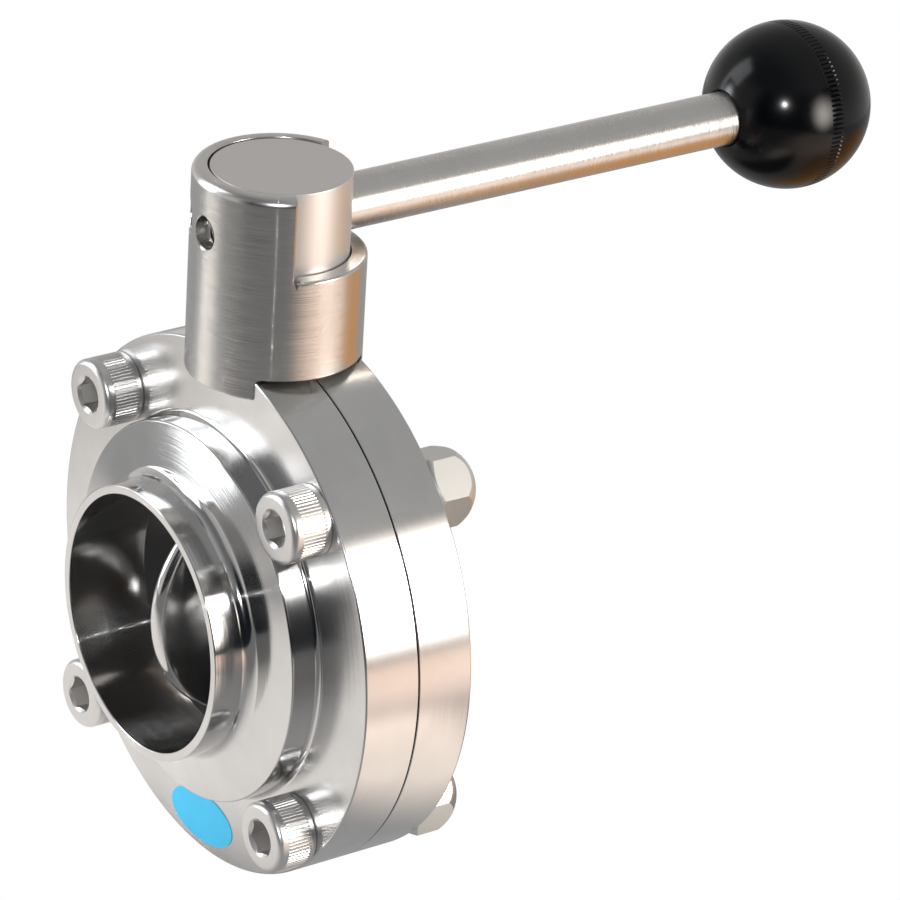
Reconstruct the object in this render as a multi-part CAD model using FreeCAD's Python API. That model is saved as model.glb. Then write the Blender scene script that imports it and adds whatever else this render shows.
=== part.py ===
"""Weld-end butterfly valve for 50.8 mm sanitary tube, with a pull-to-turn lever.

The flow runs along Y, the stem stands along Z and the two cross at the origin.
The valve is open: its disc lies along the flow and its lever points to +Y.
The lever is drawn as pulled out of its lock hole, free to turn.
"""
import FreeCAD, Part
import math
import os

Vector = FreeCAD.Vector
ORIGIN = Vector(0, 0, 0)
X_AXIS = Vector(1, 0, 0)
Y_AXIS = Vector(0, 1, 0)
Z_AXIS = Vector(0, 0, 1)
TURN = 360.0
OVERCUT = 1.0

# Tube ends and body, turned about the flow axis
TUBE_DIAMETER = 50.8
TUBE_WALL = 1.65
TUBE_END_REACH = 15.3
BODY_THICKNESS = 22.4
BODY_JOINT_GAP = 0.5
RIM_EDGE_ROUND = 0.4
BOSS_STEP = 9.85
BOSS_RISE = 5.5
BOSS_FACE_TAPER = 13.3
BOSS_EDGE_ROUND = 0.4
BOSS_ROOT_ROUND = 1.0
TUBE_ROOT_ROUND = 2.5
MOUTH_EDGE_ROUND = 0.25

# Soft seat ring between the body halves
SEAT_WIDTH = 20.8
SEAT_DEPTH = 4.75
SEAT_RIB_WIDTH = 6.0
SEAT_RIB_RISE = 2.5
SEAT_COLLAR_RISE = 1.0

# Disc and stem
DISC_SEAT_CLEARANCE = 0.15
DISC_RIM_THICKNESS = 3.6
DISC_CENTRE_THICKNESS = 12.4
STEM_DIAMETER = 12.0
STEM_HUB_DIAMETER = 17.0
STEM_HUB_START = 12.0
STEM_RUNNING_CLEARANCE = 0.05
STEM_HOLE_CLEARANCE = 0.3
STEM_SQUARE = 9.0
SOCKET_CLEARANCE = 0.05
SOCKET_ROOF = 1.5

# Bearings and seals of the stem
BUSHING_DIAMETER = 16.0
SEAL_CORD = 1.9
NECK_LAND = 2.4
LOWER_WALL = 6.0
THRUST_PAD_THICKNESS = 2.0

# Screws and nuts through the flange
BOSS_TO_HEAD_GAP = 1.75
HEAD_TO_RIM = 0.0
BOLT_COUNT = 4
BOLT_START_ANGLE = 45.0
SCREW_DIAMETER = 8.0
SCREW_HOLE_DIAMETER = 8.8
SCREW_HEAD_DIAMETER = 13.0
SCREW_HEAD_HEIGHT = 8.0
SCREW_SOCKET = 6.0
SCREW_SOCKET_DEPTH = 4.0
SCREW_HEAD_ROUND = 0.9
SCREW_THREAD_IN_NUT = 7.6
NUT_ACROSS_FLATS = 13.0
NUT_HEIGHT = 10.6
NUT_CROWN_RADIUS = 8.05
NUT_FOOT_DIAMETER = 12.4
NUT_FOOT_ANGLE = 35.0
NUT_THREAD_DEPTH = 8.6

# Handle housing that straddles the flange
HOUSING_DIAMETER = 31.6
HOUSING_WALL = 2.8
HOUSING_SEAT_CUT = 0.6
HOUSING_FLOOR_THICKNESS = 6.6
HOUSING_HEIGHT = 34.4
HOUSING_TOP_ROUND = 1.6
HOUSING_FOOT_ROUND = 0.4
SKIRT_LENGTH = 4.1
SADDLE_CLEARANCE = 0.1
SADDLE_CORNER_ROUND = 1.2
WINDOW_HEIGHT = 15.7
WINDOW_START_ANGLE = -23.0
WINDOW_END_ANGLE = 114.0
LEDGE_EDGE_ROUND = 0.5
RELIEF_WIDTH = 1.2
RELIEF_DEPTH = 1.35
RELIEF_POINT = 0.45
LOCK_HOLE_DIAMETER = 6.0
LOCK_FIRST_ANGLE = -90.0
LOCK_STEP = -30.0
LOCK_COUNT = 4
ACCESS_HOLE_DIAMETER = 5.6

# Hub inside the housing
HUB_CLEARANCE = 0.34
HUB_TOP_DROP = 0.2
HUB_TOP_ROUND = 0.25
WASHER_THICKNESS = 0.8
WASHER_MARGIN = 0.6
GRUB_DIAMETER = 5.0
GRUB_LENGTH = 8.0
GRUB_SOCKET = 2.5
GRUB_SOCKET_DEPTH = 2.5
GRUB_ANGLE = 135.0

# Lever, lock pin and spring along the lever's axis
LEVER_DROP = 9.8
ROD_DIAMETER = 10.0
ROD_GUIDE_CLEARANCE = 0.05
CHAMBER_DIAMETER = 13.0
CHAMBER_SHOULDER = 5.0
PIN_BUSH_LENGTH = 4.66
PIN_DIAMETER = 5.6
PIN_DOME_RADIUS = 3.2
PIN_GUIDE_CLEARANCE = 0.05
PIN_SET_BACK = 0.2
PIN_STROKE = 3.0
COLLAR_CLEARANCE = 0.25
COLLAR_THICKNESS = 2.4
COLLAR_STOP_GAP = 0.1
SPIGOT_DIAMETER = 6.0
SPIGOT_LENGTH = 8.0
SPRING_WIRE = 1.0
SPRING_MEAN_DIAMETER = 11.4
SPRING_TURNS = 4

# Ball knob at the end of the lever
BALL_DIAMETER = 31.5
BALL_DISTANCE = 112.7
BALL_HOLE_CLEARANCE = 0.05
BALL_MOUTH_CHAMFER = 0.4
INSERT_DIAMETER = 14.0
INSERT_LENGTH = 16.0
INSERT_DEPTH = 2.5
INSERT_END_WALL = 2.0

# Oval label on the front flange face
LABEL_LENGTH = 20.2
LABEL_HEIGHT = 9.7
LABEL_THICKNESS = 0.15
LABEL_X = 0.1
LABEL_DROP = 1.0
LABEL_TILT = 4.9

# Sizes that follow from the ones above
TUBE_OUTER = TUBE_DIAMETER / 2
TUBE_INNER = TUBE_OUTER - TUBE_WALL
FLANGE_FACE = BODY_THICKNESS / 2
MOUTH = FLANGE_FACE + TUBE_END_REACH
BOSS_RADIUS = TUBE_OUTER + BOSS_STEP
BOLT_RADIUS = BOSS_RADIUS + BOSS_TO_HEAD_GAP + SCREW_HEAD_DIAMETER / 2
FLANGE_RADIUS = BOLT_RADIUS + SCREW_HEAD_DIAMETER / 2 + HEAD_TO_RIM
SCREW_LENGTH = BODY_THICKNESS + SCREW_THREAD_IN_NUT
JOINT_FACE = BODY_JOINT_GAP / 2
SEAT_OUTER = TUBE_INNER + SEAT_DEPTH
SEAT_RIB_OUTER = SEAT_OUTER + SEAT_RIB_RISE
SEAT_COLLAR_TOP = SEAT_RIB_OUTER + SEAT_COLLAR_RISE
STEM_RADIUS = STEM_DIAMETER / 2
BUSHING_RADIUS = BUSHING_DIAMETER / 2
SEAL_HEIGHT = SEAL_CORD + 2 * STEM_RUNNING_CLEARANCE
BUSHING_START = SEAT_COLLAR_TOP + SEAL_HEIGHT
HOUSING_SEAT_HEIGHT = FLANGE_RADIUS - HOUSING_SEAT_CUT
UPPER_POCKET_TOP = HOUSING_SEAT_HEIGHT - NECK_LAND
LOWER_POCKET_END = FLANGE_RADIUS - LOWER_WALL
LOWER_BUSHING_END = LOWER_POCKET_END - THRUST_PAD_THICKNESS
HOUSING_RADIUS = HOUSING_DIAMETER / 2
SLEEVE_BORE_RADIUS = HOUSING_RADIUS - HOUSING_WALL
HOUSING_TOP = HOUSING_SEAT_HEIGHT + HOUSING_HEIGHT
WINDOW_LEDGE = HOUSING_TOP - WINDOW_HEIGHT
LEVER_HEIGHT = HOUSING_TOP - LEVER_DROP
HUB_TOP = HOUSING_TOP - HUB_TOP_DROP
HOUSING_FLOOR = HOUSING_SEAT_HEIGHT + HOUSING_FLOOR_THICKNESS
SADDLE_WALL = FLANGE_FACE + SADDLE_CLEARANCE
HUB_RADIUS = SLEEVE_BORE_RADIUS - HUB_CLEARANCE
HUB_BOTTOM = HOUSING_FLOOR + WASHER_THICKNESS
CHAMBER_RADIUS = CHAMBER_DIAMETER / 2
STEM_TOP = LEVER_HEIGHT - CHAMBER_RADIUS - SOCKET_ROOF
GRUB_HEIGHT = (HUB_BOTTOM + STEM_TOP) / 2
ROD_RADIUS = ROD_DIAMETER / 2
PIN_RADIUS = PIN_DIAMETER / 2
PIN_TIP = PIN_STROKE - (HOUSING_RADIUS - PIN_SET_BACK)
PIN_BUSH_END = PIN_BUSH_LENGTH - HUB_RADIUS
COLLAR_START = PIN_BUSH_END + PIN_STROKE + COLLAR_STOP_GAP
ROD_START = COLLAR_START + COLLAR_THICKNESS
BALL_RADIUS = BALL_DIAMETER / 2
INSERT_RADIUS = INSERT_DIAMETER / 2
INSERT_START = BALL_DISTANCE - math.sqrt(BALL_RADIUS ** 2 - INSERT_RADIUS ** 2) + INSERT_DEPTH
ROD_END = INSERT_START + INSERT_LENGTH - INSERT_END_WALL
LABEL_Z = -(BOSS_RADIUS + FLANGE_RADIUS) / 2 - LABEL_DROP


def cylinder(radius, start, end, axis=Z_AXIS, centre=ORIGIN):
    """A round bar along an axis through the centre, between two stations on that axis."""
    return Part.makeCylinder(radius, end - start, centre + axis * start, axis)


def tube(outer, inner, start, end, axis=Z_AXIS, centre=ORIGIN):
    """A bar with a hole right through it."""
    bar = cylinder(outer, start, end, axis, centre)
    return bar.cut(cylinder(inner, start - OVERCUT, end + OVERCUT, axis, centre))


def rounded_wire(corners):
    """A closed wire through (point, radius) corners, each rounded by its own radius."""
    edges = []
    ends = []
    for index, (point, radius) in enumerate(corners):
        before = corners[index - 1][0] - point
        after = corners[(index + 1) % len(corners)][0] - point
        if radius <= 0:
            ends.append((point, point))
            continue
        half_angle = before.getAngle(after) / 2
        reach = radius / math.tan(half_angle)
        before.normalize()
        after.normalize()
        bisector = before + after
        bisector.normalize()
        middle = point + bisector * (radius / math.sin(half_angle) - radius)
        start = point + before * reach
        end = point + after * reach
        ends.append((start, end))
        edges.append(Part.Arc(start, middle, end).toShape())
    for index, (start, _) in enumerate(ends):
        previous_end = ends[index - 1][1]
        if start.distanceToPoint(previous_end) > 1e-6:
            edges.append(Part.makeLine(previous_end, start))
    return Part.Wire(Part.__sortEdges__(edges))


def turned(corners, axis, across, centre=ORIGIN):
    """A body of revolution from (radius, station, round) corners about an axis through the centre."""
    placed = [(centre + across * radius + axis * station, rounding) for radius, station, rounding in corners]
    solid = Part.Face(rounded_wire(placed)).revolve(centre, axis, TURN)
    return solid if solid.Volume > 0 else solid.reversed()


def prism(points, travel, rounding=0.0):
    """A straight extrusion of a closed outline."""
    outline = rounded_wire([(point, rounding) for point in points])
    solid = Part.Face(outline).extrude(travel)
    return solid if solid.Volume > 0 else solid.reversed()


def polygon_bar(sides, across_flats, start, end, axis, centre=ORIGIN):
    """A bar of regular section with a corner straight up, or towards +X where the bar itself stands up."""
    side = Z_AXIS if axis != Z_AXIS else X_AXIS
    corner_radius = across_flats / 2 / math.cos(math.pi / sides)
    points = []
    for index in range(sides):
        turn = FreeCAD.Rotation(axis, TURN * index / sides)
        points.append(centre + axis * start + turn.multVec(side) * corner_radius)
    return prism(points, axis * (end - start))


def about_z(shape, angle):
    """A copy of a shape turned about the stem axis."""
    copy = shape.copy()
    copy.rotate(ORIGIN, Z_AXIS, angle)
    return copy


def bolt_centres():
    """The points where the four screws cross the joint plane."""
    centres = []
    for index in range(BOLT_COUNT):
        angle = math.radians(BOLT_START_ANGLE + TURN * index / BOLT_COUNT)
        centres.append(Vector(math.cos(angle), 0, math.sin(angle)) * BOLT_RADIUS)
    return centres


def body_half(side):
    """One half of the body, on the side of the joint plane that the sign names."""
    tube_root = FLANGE_FACE + BOSS_RISE
    tube_root += (BOSS_RADIUS - TUBE_OUTER) * math.tan(math.radians(BOSS_FACE_TAPER))
    corners = [
        (SEAT_RIB_OUTER, JOINT_FACE, 0),
        (FLANGE_RADIUS, JOINT_FACE, RIM_EDGE_ROUND),
        (FLANGE_RADIUS, FLANGE_FACE, RIM_EDGE_ROUND),
        (BOSS_RADIUS, FLANGE_FACE, BOSS_ROOT_ROUND),
        (BOSS_RADIUS, FLANGE_FACE + BOSS_RISE, BOSS_EDGE_ROUND),
        (TUBE_OUTER, tube_root, TUBE_ROOT_ROUND),
        (TUBE_OUTER, MOUTH, MOUTH_EDGE_ROUND),
        (TUBE_INNER, MOUTH, MOUTH_EDGE_ROUND),
        (TUBE_INNER, SEAT_WIDTH / 2, 0),
        (SEAT_OUTER, SEAT_WIDTH / 2, 0),
        (SEAT_OUTER, SEAT_RIB_WIDTH / 2, 0),
        (SEAT_RIB_OUTER, SEAT_RIB_WIDTH / 2, 0),
    ]
    half = turned(corners, Y_AXIS * side, X_AXIS)
    neck = STEM_RADIUS + STEM_HOLE_CLEARANCE
    cuts = [
        cylinder(BUSHING_RADIUS, TUBE_OUTER, UPPER_POCKET_TOP),
        cylinder(neck, UPPER_POCKET_TOP - OVERCUT, FLANGE_RADIUS + OVERCUT),
        cylinder(BUSHING_RADIUS, -LOWER_POCKET_END, -TUBE_OUTER),
        Part.makeBox(
            HOUSING_DIAMETER,
            BODY_THICKNESS,
            FLANGE_RADIUS + OVERCUT - HOUSING_SEAT_HEIGHT,
            Vector(-HOUSING_RADIUS, -FLANGE_FACE, HOUSING_SEAT_HEIGHT),
        ),
    ]
    for centre in bolt_centres():
        cuts.append(cylinder(SCREW_HOLE_DIAMETER / 2, -BODY_THICKNESS, BODY_THICKNESS, Y_AXIS, centre))
    return half.cut(cuts)


def seat_ring():
    """The soft liner: a ring with a locating rib, and a collar round the stem at top and bottom."""
    corners = [
        (TUBE_INNER, -SEAT_WIDTH / 2, 0),
        (SEAT_OUTER, -SEAT_WIDTH / 2, 0),
        (SEAT_OUTER, -SEAT_RIB_WIDTH / 2, 0),
        (SEAT_RIB_OUTER, -SEAT_RIB_WIDTH / 2, 0),
        (SEAT_RIB_OUTER, SEAT_RIB_WIDTH / 2, 0),
        (SEAT_OUTER, SEAT_RIB_WIDTH / 2, 0),
        (SEAT_OUTER, SEAT_WIDTH / 2, 0),
        (TUBE_INNER, SEAT_WIDTH / 2, 0),
    ]
    ring = turned(corners, Y_AXIS, X_AXIS)
    collars = cylinder(BUSHING_RADIUS, -SEAT_COLLAR_TOP, SEAT_COLLAR_TOP)
    collars = collars.cut(cylinder(TUBE_INNER, -SEAT_WIDTH, SEAT_WIDTH, Y_AXIS))
    stem_hole = STEM_RADIUS + STEM_RUNNING_CLEARANCE
    ring = ring.fuse(collars).removeSplitter()
    return ring.cut(cylinder(stem_hole, -SEAT_COLLAR_TOP - OVERCUT, SEAT_COLLAR_TOP + OVERCUT))


def disc_stem():
    """The lens-shaped disc with its stem: a stub below, a shaft and a square above."""
    disc_radius = TUBE_INNER - DISC_SEAT_CLEARANCE
    rim_half = DISC_RIM_THICKNESS / 2
    centre_half = DISC_CENTRE_THICKNESS / 2
    face_edge = disc_radius - rim_half
    sag = centre_half - rim_half
    face_radius = (face_edge ** 2 + sag ** 2) / (2 * sag)
    cap_half_angle = math.asin(face_edge / face_radius) / 2
    cap_middle = Vector(
        centre_half - face_radius + face_radius * math.cos(cap_half_angle),
        face_radius * math.sin(cap_half_angle),
        0,
    )
    crown = Part.Arc(Vector(centre_half, 0, 0), cap_middle, Vector(rim_half, face_edge, 0)).toShape()
    mirrored_middle = Vector(-cap_middle.x, cap_middle.y, 0)
    mirrored_edge = Vector(-rim_half, face_edge, 0)
    rim = Part.Arc(Vector(rim_half, face_edge, 0), Vector(0, disc_radius, 0), mirrored_edge).toShape()
    back = Part.Arc(mirrored_edge, mirrored_middle, Vector(-centre_half, 0, 0)).toShape()
    middle = Part.makeLine(Vector(-centre_half, 0, 0), Vector(centre_half, 0, 0))
    lens = Part.Face(Part.Wire([crown, rim, back, middle])).revolve(ORIGIN, X_AXIS, TURN)
    lens = lens if lens.Volume > 0 else lens.reversed()

    hub_radius = STEM_HUB_DIAMETER / 2
    hub_corners = [
        (0, 0, 0),
        (STEM_RADIUS, 0, 0),
        (STEM_RADIUS, STEM_HUB_START, 0),
        (hub_radius, disc_radius - rim_half, 0),
        (hub_radius, disc_radius, 0),
        (0, disc_radius, 0),
    ]
    inside_bore = Part.makeSphere(disc_radius)
    piece = lens
    for side in (1, -1):
        piece = piece.fuse(turned(hub_corners, Z_AXIS * side, X_AXIS).common(inside_bore))
    shaft = cylinder(STEM_RADIUS, -LOWER_BUSHING_END, HUB_BOTTOM)
    square = polygon_bar(4, STEM_SQUARE, HUB_BOTTOM, STEM_TOP, Z_AXIS)
    square = square.common(cylinder(STEM_RADIUS, HUB_BOTTOM, STEM_TOP))
    return piece.fuse([shaft, square]).removeSplitter()


def stem_bushing(start, end):
    """A plain bearing in the split body."""
    return tube(BUSHING_RADIUS, STEM_RADIUS + STEM_RUNNING_CLEARANCE, start, end)


def stem_seal(height):
    """An O-ring round the stem, at a height on the stem axis."""
    cord = SEAL_CORD / 2
    return Part.makeTorus(BUSHING_RADIUS - cord - STEM_RUNNING_CLEARANCE, cord, Vector(0, 0, height), Z_AXIS)


def lower_thrust_pad():
    """The plastic pad at the bottom of the blind bore, which carries the stem."""
    return cylinder(BUSHING_RADIUS, -LOWER_POCKET_END, -LOWER_BUSHING_END)


def cap_screw(centre):
    """A hexagon socket screw from the front, its head seated on the flange face."""
    head_front = -FLANGE_FACE - SCREW_HEAD_HEIGHT
    corners = [
        (0, head_front, 0),
        (SCREW_HEAD_DIAMETER / 2, head_front, SCREW_HEAD_ROUND),
        (SCREW_HEAD_DIAMETER / 2, -FLANGE_FACE, 0),
        (SCREW_DIAMETER / 2, -FLANGE_FACE, 0),
        (SCREW_DIAMETER / 2, SCREW_LENGTH - FLANGE_FACE, SCREW_HEAD_ROUND),
        (0, SCREW_LENGTH - FLANGE_FACE, 0),
    ]
    screw = turned(corners, Y_AXIS, X_AXIS, centre)
    socket_floor = head_front + SCREW_SOCKET_DEPTH
    return screw.cut(polygon_bar(6, SCREW_SOCKET, head_front - OVERCUT, socket_floor, Y_AXIS, centre))


def cap_nut(centre):
    """A low domed nut behind the rear flange: a hexagon with a crowned end and a bevelled foot."""
    nut_end = FLANGE_FACE + NUT_HEIGHT
    over_end = nut_end + OVERCUT
    foot = NUT_FOOT_DIAMETER / 2
    foot_rise = (NUT_ACROSS_FLATS - foot) * math.tan(math.radians(NUT_FOOT_ANGLE))
    envelope = [
        (0, FLANGE_FACE, 0),
        (foot, FLANGE_FACE, 0),
        (NUT_ACROSS_FLATS, FLANGE_FACE + foot_rise, 0),
        (NUT_ACROSS_FLATS, over_end, 0),
        (0, over_end, 0),
    ]
    nut = polygon_bar(6, NUT_ACROSS_FLATS, FLANGE_FACE, over_end, Y_AXIS, centre)
    nut = nut.common(turned(envelope, Y_AXIS, X_AXIS, centre))
    crown_start = nut_end - NUT_CROWN_RADIUS
    crown = Part.makeSphere(NUT_CROWN_RADIUS, centre + Y_AXIS * crown_start)
    nut = nut.cut(cylinder(NUT_ACROSS_FLATS, crown_start, over_end, Y_AXIS, centre).cut(crown))
    thread_end = FLANGE_FACE + NUT_THREAD_DEPTH
    return nut.cut(cylinder(SCREW_DIAMETER / 2, FLANGE_FACE - OVERCUT, thread_end, Y_AXIS, centre))


def window_relief(angle, side):
    """The small V cut at a lower corner of the lever window."""
    inner = Vector(SLEEVE_BORE_RADIUS - OVERCUT, 0, WINDOW_LEDGE + RELIEF_POINT)
    points = [
        inner,
        inner + Vector(0, side * RELIEF_WIDTH, 0),
        inner + Vector(0, side * RELIEF_WIDTH, -RELIEF_POINT),
        inner + Vector(0, side * RELIEF_POINT, -RELIEF_POINT - RELIEF_DEPTH),
    ]
    reach = HOUSING_WALL + 2 * OVERCUT
    return about_z(prism(points, X_AXIS * reach), angle)


def ledge_rounding():
    """What the rounded outer edge of the window ledge leaves out of the wall."""
    corner = WINDOW_LEDGE
    ring = turned(
        [
            (HOUSING_RADIUS - LEDGE_EDGE_ROUND, corner - LEDGE_EDGE_ROUND, 0),
            (HOUSING_RADIUS + OVERCUT, corner - LEDGE_EDGE_ROUND, 0),
            (HOUSING_RADIUS + OVERCUT, corner + OVERCUT, 0),
            (HOUSING_RADIUS - LEDGE_EDGE_ROUND, corner + OVERCUT, 0),
        ],
        Z_AXIS,
        X_AXIS,
    )
    edge = Part.makeTorus(
        HOUSING_RADIUS - LEDGE_EDGE_ROUND,
        LEDGE_EDGE_ROUND,
        Vector(0, 0, corner - LEDGE_EDGE_ROUND),
        Z_AXIS,
    )
    span = WINDOW_END_ANGLE - WINDOW_START_ANGLE
    foot = Vector(0, 0, corner - OVERCUT)
    sector = Part.makeCylinder(HOUSING_DIAMETER, 2 * OVERCUT, foot, Z_AXIS, span)
    return ring.cut(edge).common(about_z(sector, WINDOW_START_ANGLE))


def handle_housing():
    """The sleeve that straddles the flange, with the lever window and the lock holes."""
    foot = HOUSING_SEAT_HEIGHT - SKIRT_LENGTH
    sleeve = turned(
        [
            (0, foot, 0),
            (HOUSING_RADIUS, foot, HOUSING_FOOT_ROUND),
            (HOUSING_RADIUS, HOUSING_TOP, HOUSING_TOP_ROUND),
            (0, HOUSING_TOP, 0),
        ],
        Z_AXIS,
        X_AXIS,
    )
    far_side = -HOUSING_RADIUS - OVERCUT
    saddle = prism(
        [
            Vector(far_side, -SADDLE_WALL, foot - SADDLE_CORNER_ROUND - OVERCUT),
            Vector(far_side, SADDLE_WALL, foot - SADDLE_CORNER_ROUND - OVERCUT),
            Vector(far_side, SADDLE_WALL, HOUSING_SEAT_HEIGHT),
            Vector(far_side, -SADDLE_WALL, HOUSING_SEAT_HEIGHT),
        ],
        X_AXIS * (HOUSING_DIAMETER + 2 * OVERCUT),
        SADDLE_CORNER_ROUND,
    )
    span = WINDOW_END_ANGLE - WINDOW_START_ANGLE
    window_height = HOUSING_TOP + OVERCUT - WINDOW_LEDGE
    window = Part.makeCylinder(HOUSING_DIAMETER, window_height, Vector(0, 0, WINDOW_LEDGE), Z_AXIS, span)
    cuts = [
        saddle,
        cylinder(SLEEVE_BORE_RADIUS, HOUSING_FLOOR, HOUSING_TOP + OVERCUT),
        cylinder(STEM_RADIUS + STEM_HOLE_CLEARANCE, foot, HOUSING_FLOOR + OVERCUT),
        about_z(window, WINDOW_START_ANGLE),
        ledge_rounding(),
        window_relief(WINDOW_START_ANGLE, 1),
        window_relief(WINDOW_END_ANGLE, -1),
    ]
    lock_hole = cylinder(LOCK_HOLE_DIAMETER / 2, 0, HOUSING_DIAMETER, X_AXIS, Vector(0, 0, LEVER_HEIGHT))
    for index in range(LOCK_COUNT):
        cuts.append(about_z(lock_hole, LOCK_FIRST_ANGLE + LOCK_STEP * index))
    access = cylinder(ACCESS_HOLE_DIAMETER / 2, 0, HOUSING_DIAMETER, X_AXIS, Vector(0, 0, GRUB_HEIGHT))
    cuts.append(about_z(access, GRUB_ANGLE))
    return sleeve.cut(cuts)


def handle_hub():
    """The turning core: a square socket below, and the lever's guide and spring chamber above."""
    hub = turned(
        [
            (0, HUB_BOTTOM, 0),
            (HUB_RADIUS, HUB_BOTTOM, HUB_TOP_ROUND),
            (HUB_RADIUS, HUB_TOP, HUB_TOP_ROUND),
            (0, HUB_TOP, 0),
        ],
        Z_AXIS,
        X_AXIS,
    )
    lever_line = Vector(0, 0, LEVER_HEIGHT)
    socket_size = STEM_SQUARE + 2 * SOCKET_CLEARANCE
    socket_top = STEM_TOP + 2 * SOCKET_CLEARANCE
    grub_line = Vector(0, 0, GRUB_HEIGHT)
    cuts = [
        polygon_bar(4, socket_size, HUB_BOTTOM - OVERCUT, socket_top, Z_AXIS),
        cylinder(CHAMBER_RADIUS, -HOUSING_RADIUS, CHAMBER_SHOULDER, Y_AXIS, lever_line),
        cylinder(ROD_RADIUS + ROD_GUIDE_CLEARANCE, 0, HOUSING_RADIUS, Y_AXIS, lever_line),
        about_z(cylinder(GRUB_DIAMETER / 2, 0, HOUSING_RADIUS, X_AXIS, grub_line), GRUB_ANGLE),
    ]
    return hub.cut(cuts)


def hub_thrust_washer():
    """The flat washer between the housing floor and the hub."""
    outer = SLEEVE_BORE_RADIUS - WASHER_MARGIN
    return tube(outer, STEM_RADIUS + STEM_HOLE_CLEARANCE, HOUSING_FLOOR, HUB_BOTTOM)


def hub_grub_screw():
    """The set screw that holds the hub down on the stem's square."""
    line = Vector(0, 0, GRUB_HEIGHT)
    start = STEM_SQUARE / 2
    end = start + GRUB_LENGTH
    screw = cylinder(GRUB_DIAMETER / 2, start, end, X_AXIS, line)
    socket = polygon_bar(6, GRUB_SOCKET, end - GRUB_SOCKET_DEPTH, end + OVERCUT, X_AXIS, line)
    return about_z(screw.cut(socket), GRUB_ANGLE)


def lever_rod():
    """The round bar of the lever, with a threaded hole for the lock pin in its inner end."""
    line = Vector(0, 0, LEVER_HEIGHT)
    rod = cylinder(ROD_RADIUS, ROD_START, ROD_END, Y_AXIS, line)
    spigot_end = ROD_START + SPIGOT_LENGTH
    return rod.cut(cylinder(SPIGOT_DIAMETER / 2, ROD_START - OVERCUT, spigot_end, Y_AXIS, line))


def lock_pin():
    """The domed pin with its collar, screwed into the inner end of the rod."""
    line = Vector(0, 0, LEVER_HEIGHT)
    dome_rise = PIN_DOME_RADIUS - math.sqrt(PIN_DOME_RADIUS ** 2 - PIN_RADIUS ** 2)
    shoulder = PIN_TIP + dome_rise
    ball = Part.makeSphere(PIN_DOME_RADIUS, line + Y_AXIS * (PIN_TIP + PIN_DOME_RADIUS))
    dome = ball.common(cylinder(PIN_RADIUS, PIN_TIP, shoulder + OVERCUT, Y_AXIS, line))
    pin = cylinder(PIN_RADIUS, shoulder, COLLAR_START, Y_AXIS, line)
    collar = cylinder(CHAMBER_RADIUS - COLLAR_CLEARANCE, COLLAR_START, ROD_START, Y_AXIS, line)
    spigot = cylinder(SPIGOT_DIAMETER / 2, ROD_START, ROD_START + SPIGOT_LENGTH, Y_AXIS, line)
    return pin.fuse([dome, collar, spigot]).removeSplitter()


def pin_bush():
    """The guide bush of the lock pin, its outer end flush with the hub's round side."""
    line = Vector(0, 0, LEVER_HEIGHT)
    guide = PIN_RADIUS + PIN_GUIDE_CLEARANCE
    bar = tube(CHAMBER_RADIUS, guide, -HOUSING_RADIUS, PIN_BUSH_END, Y_AXIS, line)
    return bar.common(cylinder(HUB_RADIUS, HUB_BOTTOM, HUB_TOP))


def lever_spring():
    """The coil spring between the pin's collar and the shoulder of the chamber."""
    mean = SPRING_MEAN_DIAMETER / 2
    length = CHAMBER_SHOULDER - ROD_START - SPRING_WIRE
    path = Part.makeHelix(length / SPRING_TURNS, length, mean)
    section = Part.Wire(Part.makeCircle(SPRING_WIRE / 2, Vector(mean, 0, 0), Y_AXIS))
    coil = Part.Wire(path).makePipeShell([section], True, True)
    coil.rotate(ORIGIN, X_AXIS, -TURN / 4)
    coil.translate(Vector(0, ROD_START + SPRING_WIRE / 2, LEVER_HEIGHT))
    return coil if coil.Volume > 0 else coil.reversed()


def ball_knob():
    """The plastic ball, bored for the rod and moulded round its insert."""
    line = Vector(0, 0, LEVER_HEIGHT)
    ball = Part.makeSphere(BALL_RADIUS, line + Y_AXIS * BALL_DISTANCE)
    hole = ROD_RADIUS + BALL_HOLE_CLEARANCE
    mouth = BALL_DISTANCE - math.sqrt(BALL_RADIUS ** 2 - (hole + BALL_MOUTH_CHAMFER) ** 2)
    funnel = turned(
        [
            (0, mouth - OVERCUT, 0),
            (hole + BALL_MOUTH_CHAMFER + OVERCUT, mouth - OVERCUT, 0),
            (hole, mouth + BALL_MOUTH_CHAMFER, 0),
            (0, mouth + BALL_MOUTH_CHAMFER, 0),
        ],
        Y_AXIS,
        X_AXIS,
        line,
    )
    cuts = [
        cylinder(hole, 0, INSERT_START, Y_AXIS, line),
        cylinder(INSERT_RADIUS, INSERT_START, INSERT_START + INSERT_LENGTH, Y_AXIS, line),
        funnel,
    ]
    return ball.cut(cuts)


def knob_insert():
    """The threaded metal insert inside the ball, closed at its far end."""
    line = Vector(0, 0, LEVER_HEIGHT)
    bar = cylinder(INSERT_RADIUS, INSERT_START, INSERT_START + INSERT_LENGTH, Y_AXIS, line)
    return bar.cut(cylinder(ROD_RADIUS, INSERT_START - OVERCUT, ROD_END, Y_AXIS, line))


def test_label():
    """The blank oval label on the front flange face."""
    centre = Vector(LABEL_X, -FLANGE_FACE - LABEL_THICKNESS, LABEL_Z)
    tilt = math.radians(LABEL_TILT)
    along = Vector(math.cos(tilt), 0, math.sin(tilt))
    upward = Vector(-math.sin(tilt), 0, math.cos(tilt))
    oval = Part.Ellipse(centre + along * (LABEL_LENGTH / 2), centre + upward * (LABEL_HEIGHT / 2), centre)
    plate = Part.Face(Part.Wire(oval.toShape())).extrude(Y_AXIS * LABEL_THICKNESS)
    return plate if plate.Volume > 0 else plate.reversed()


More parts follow.
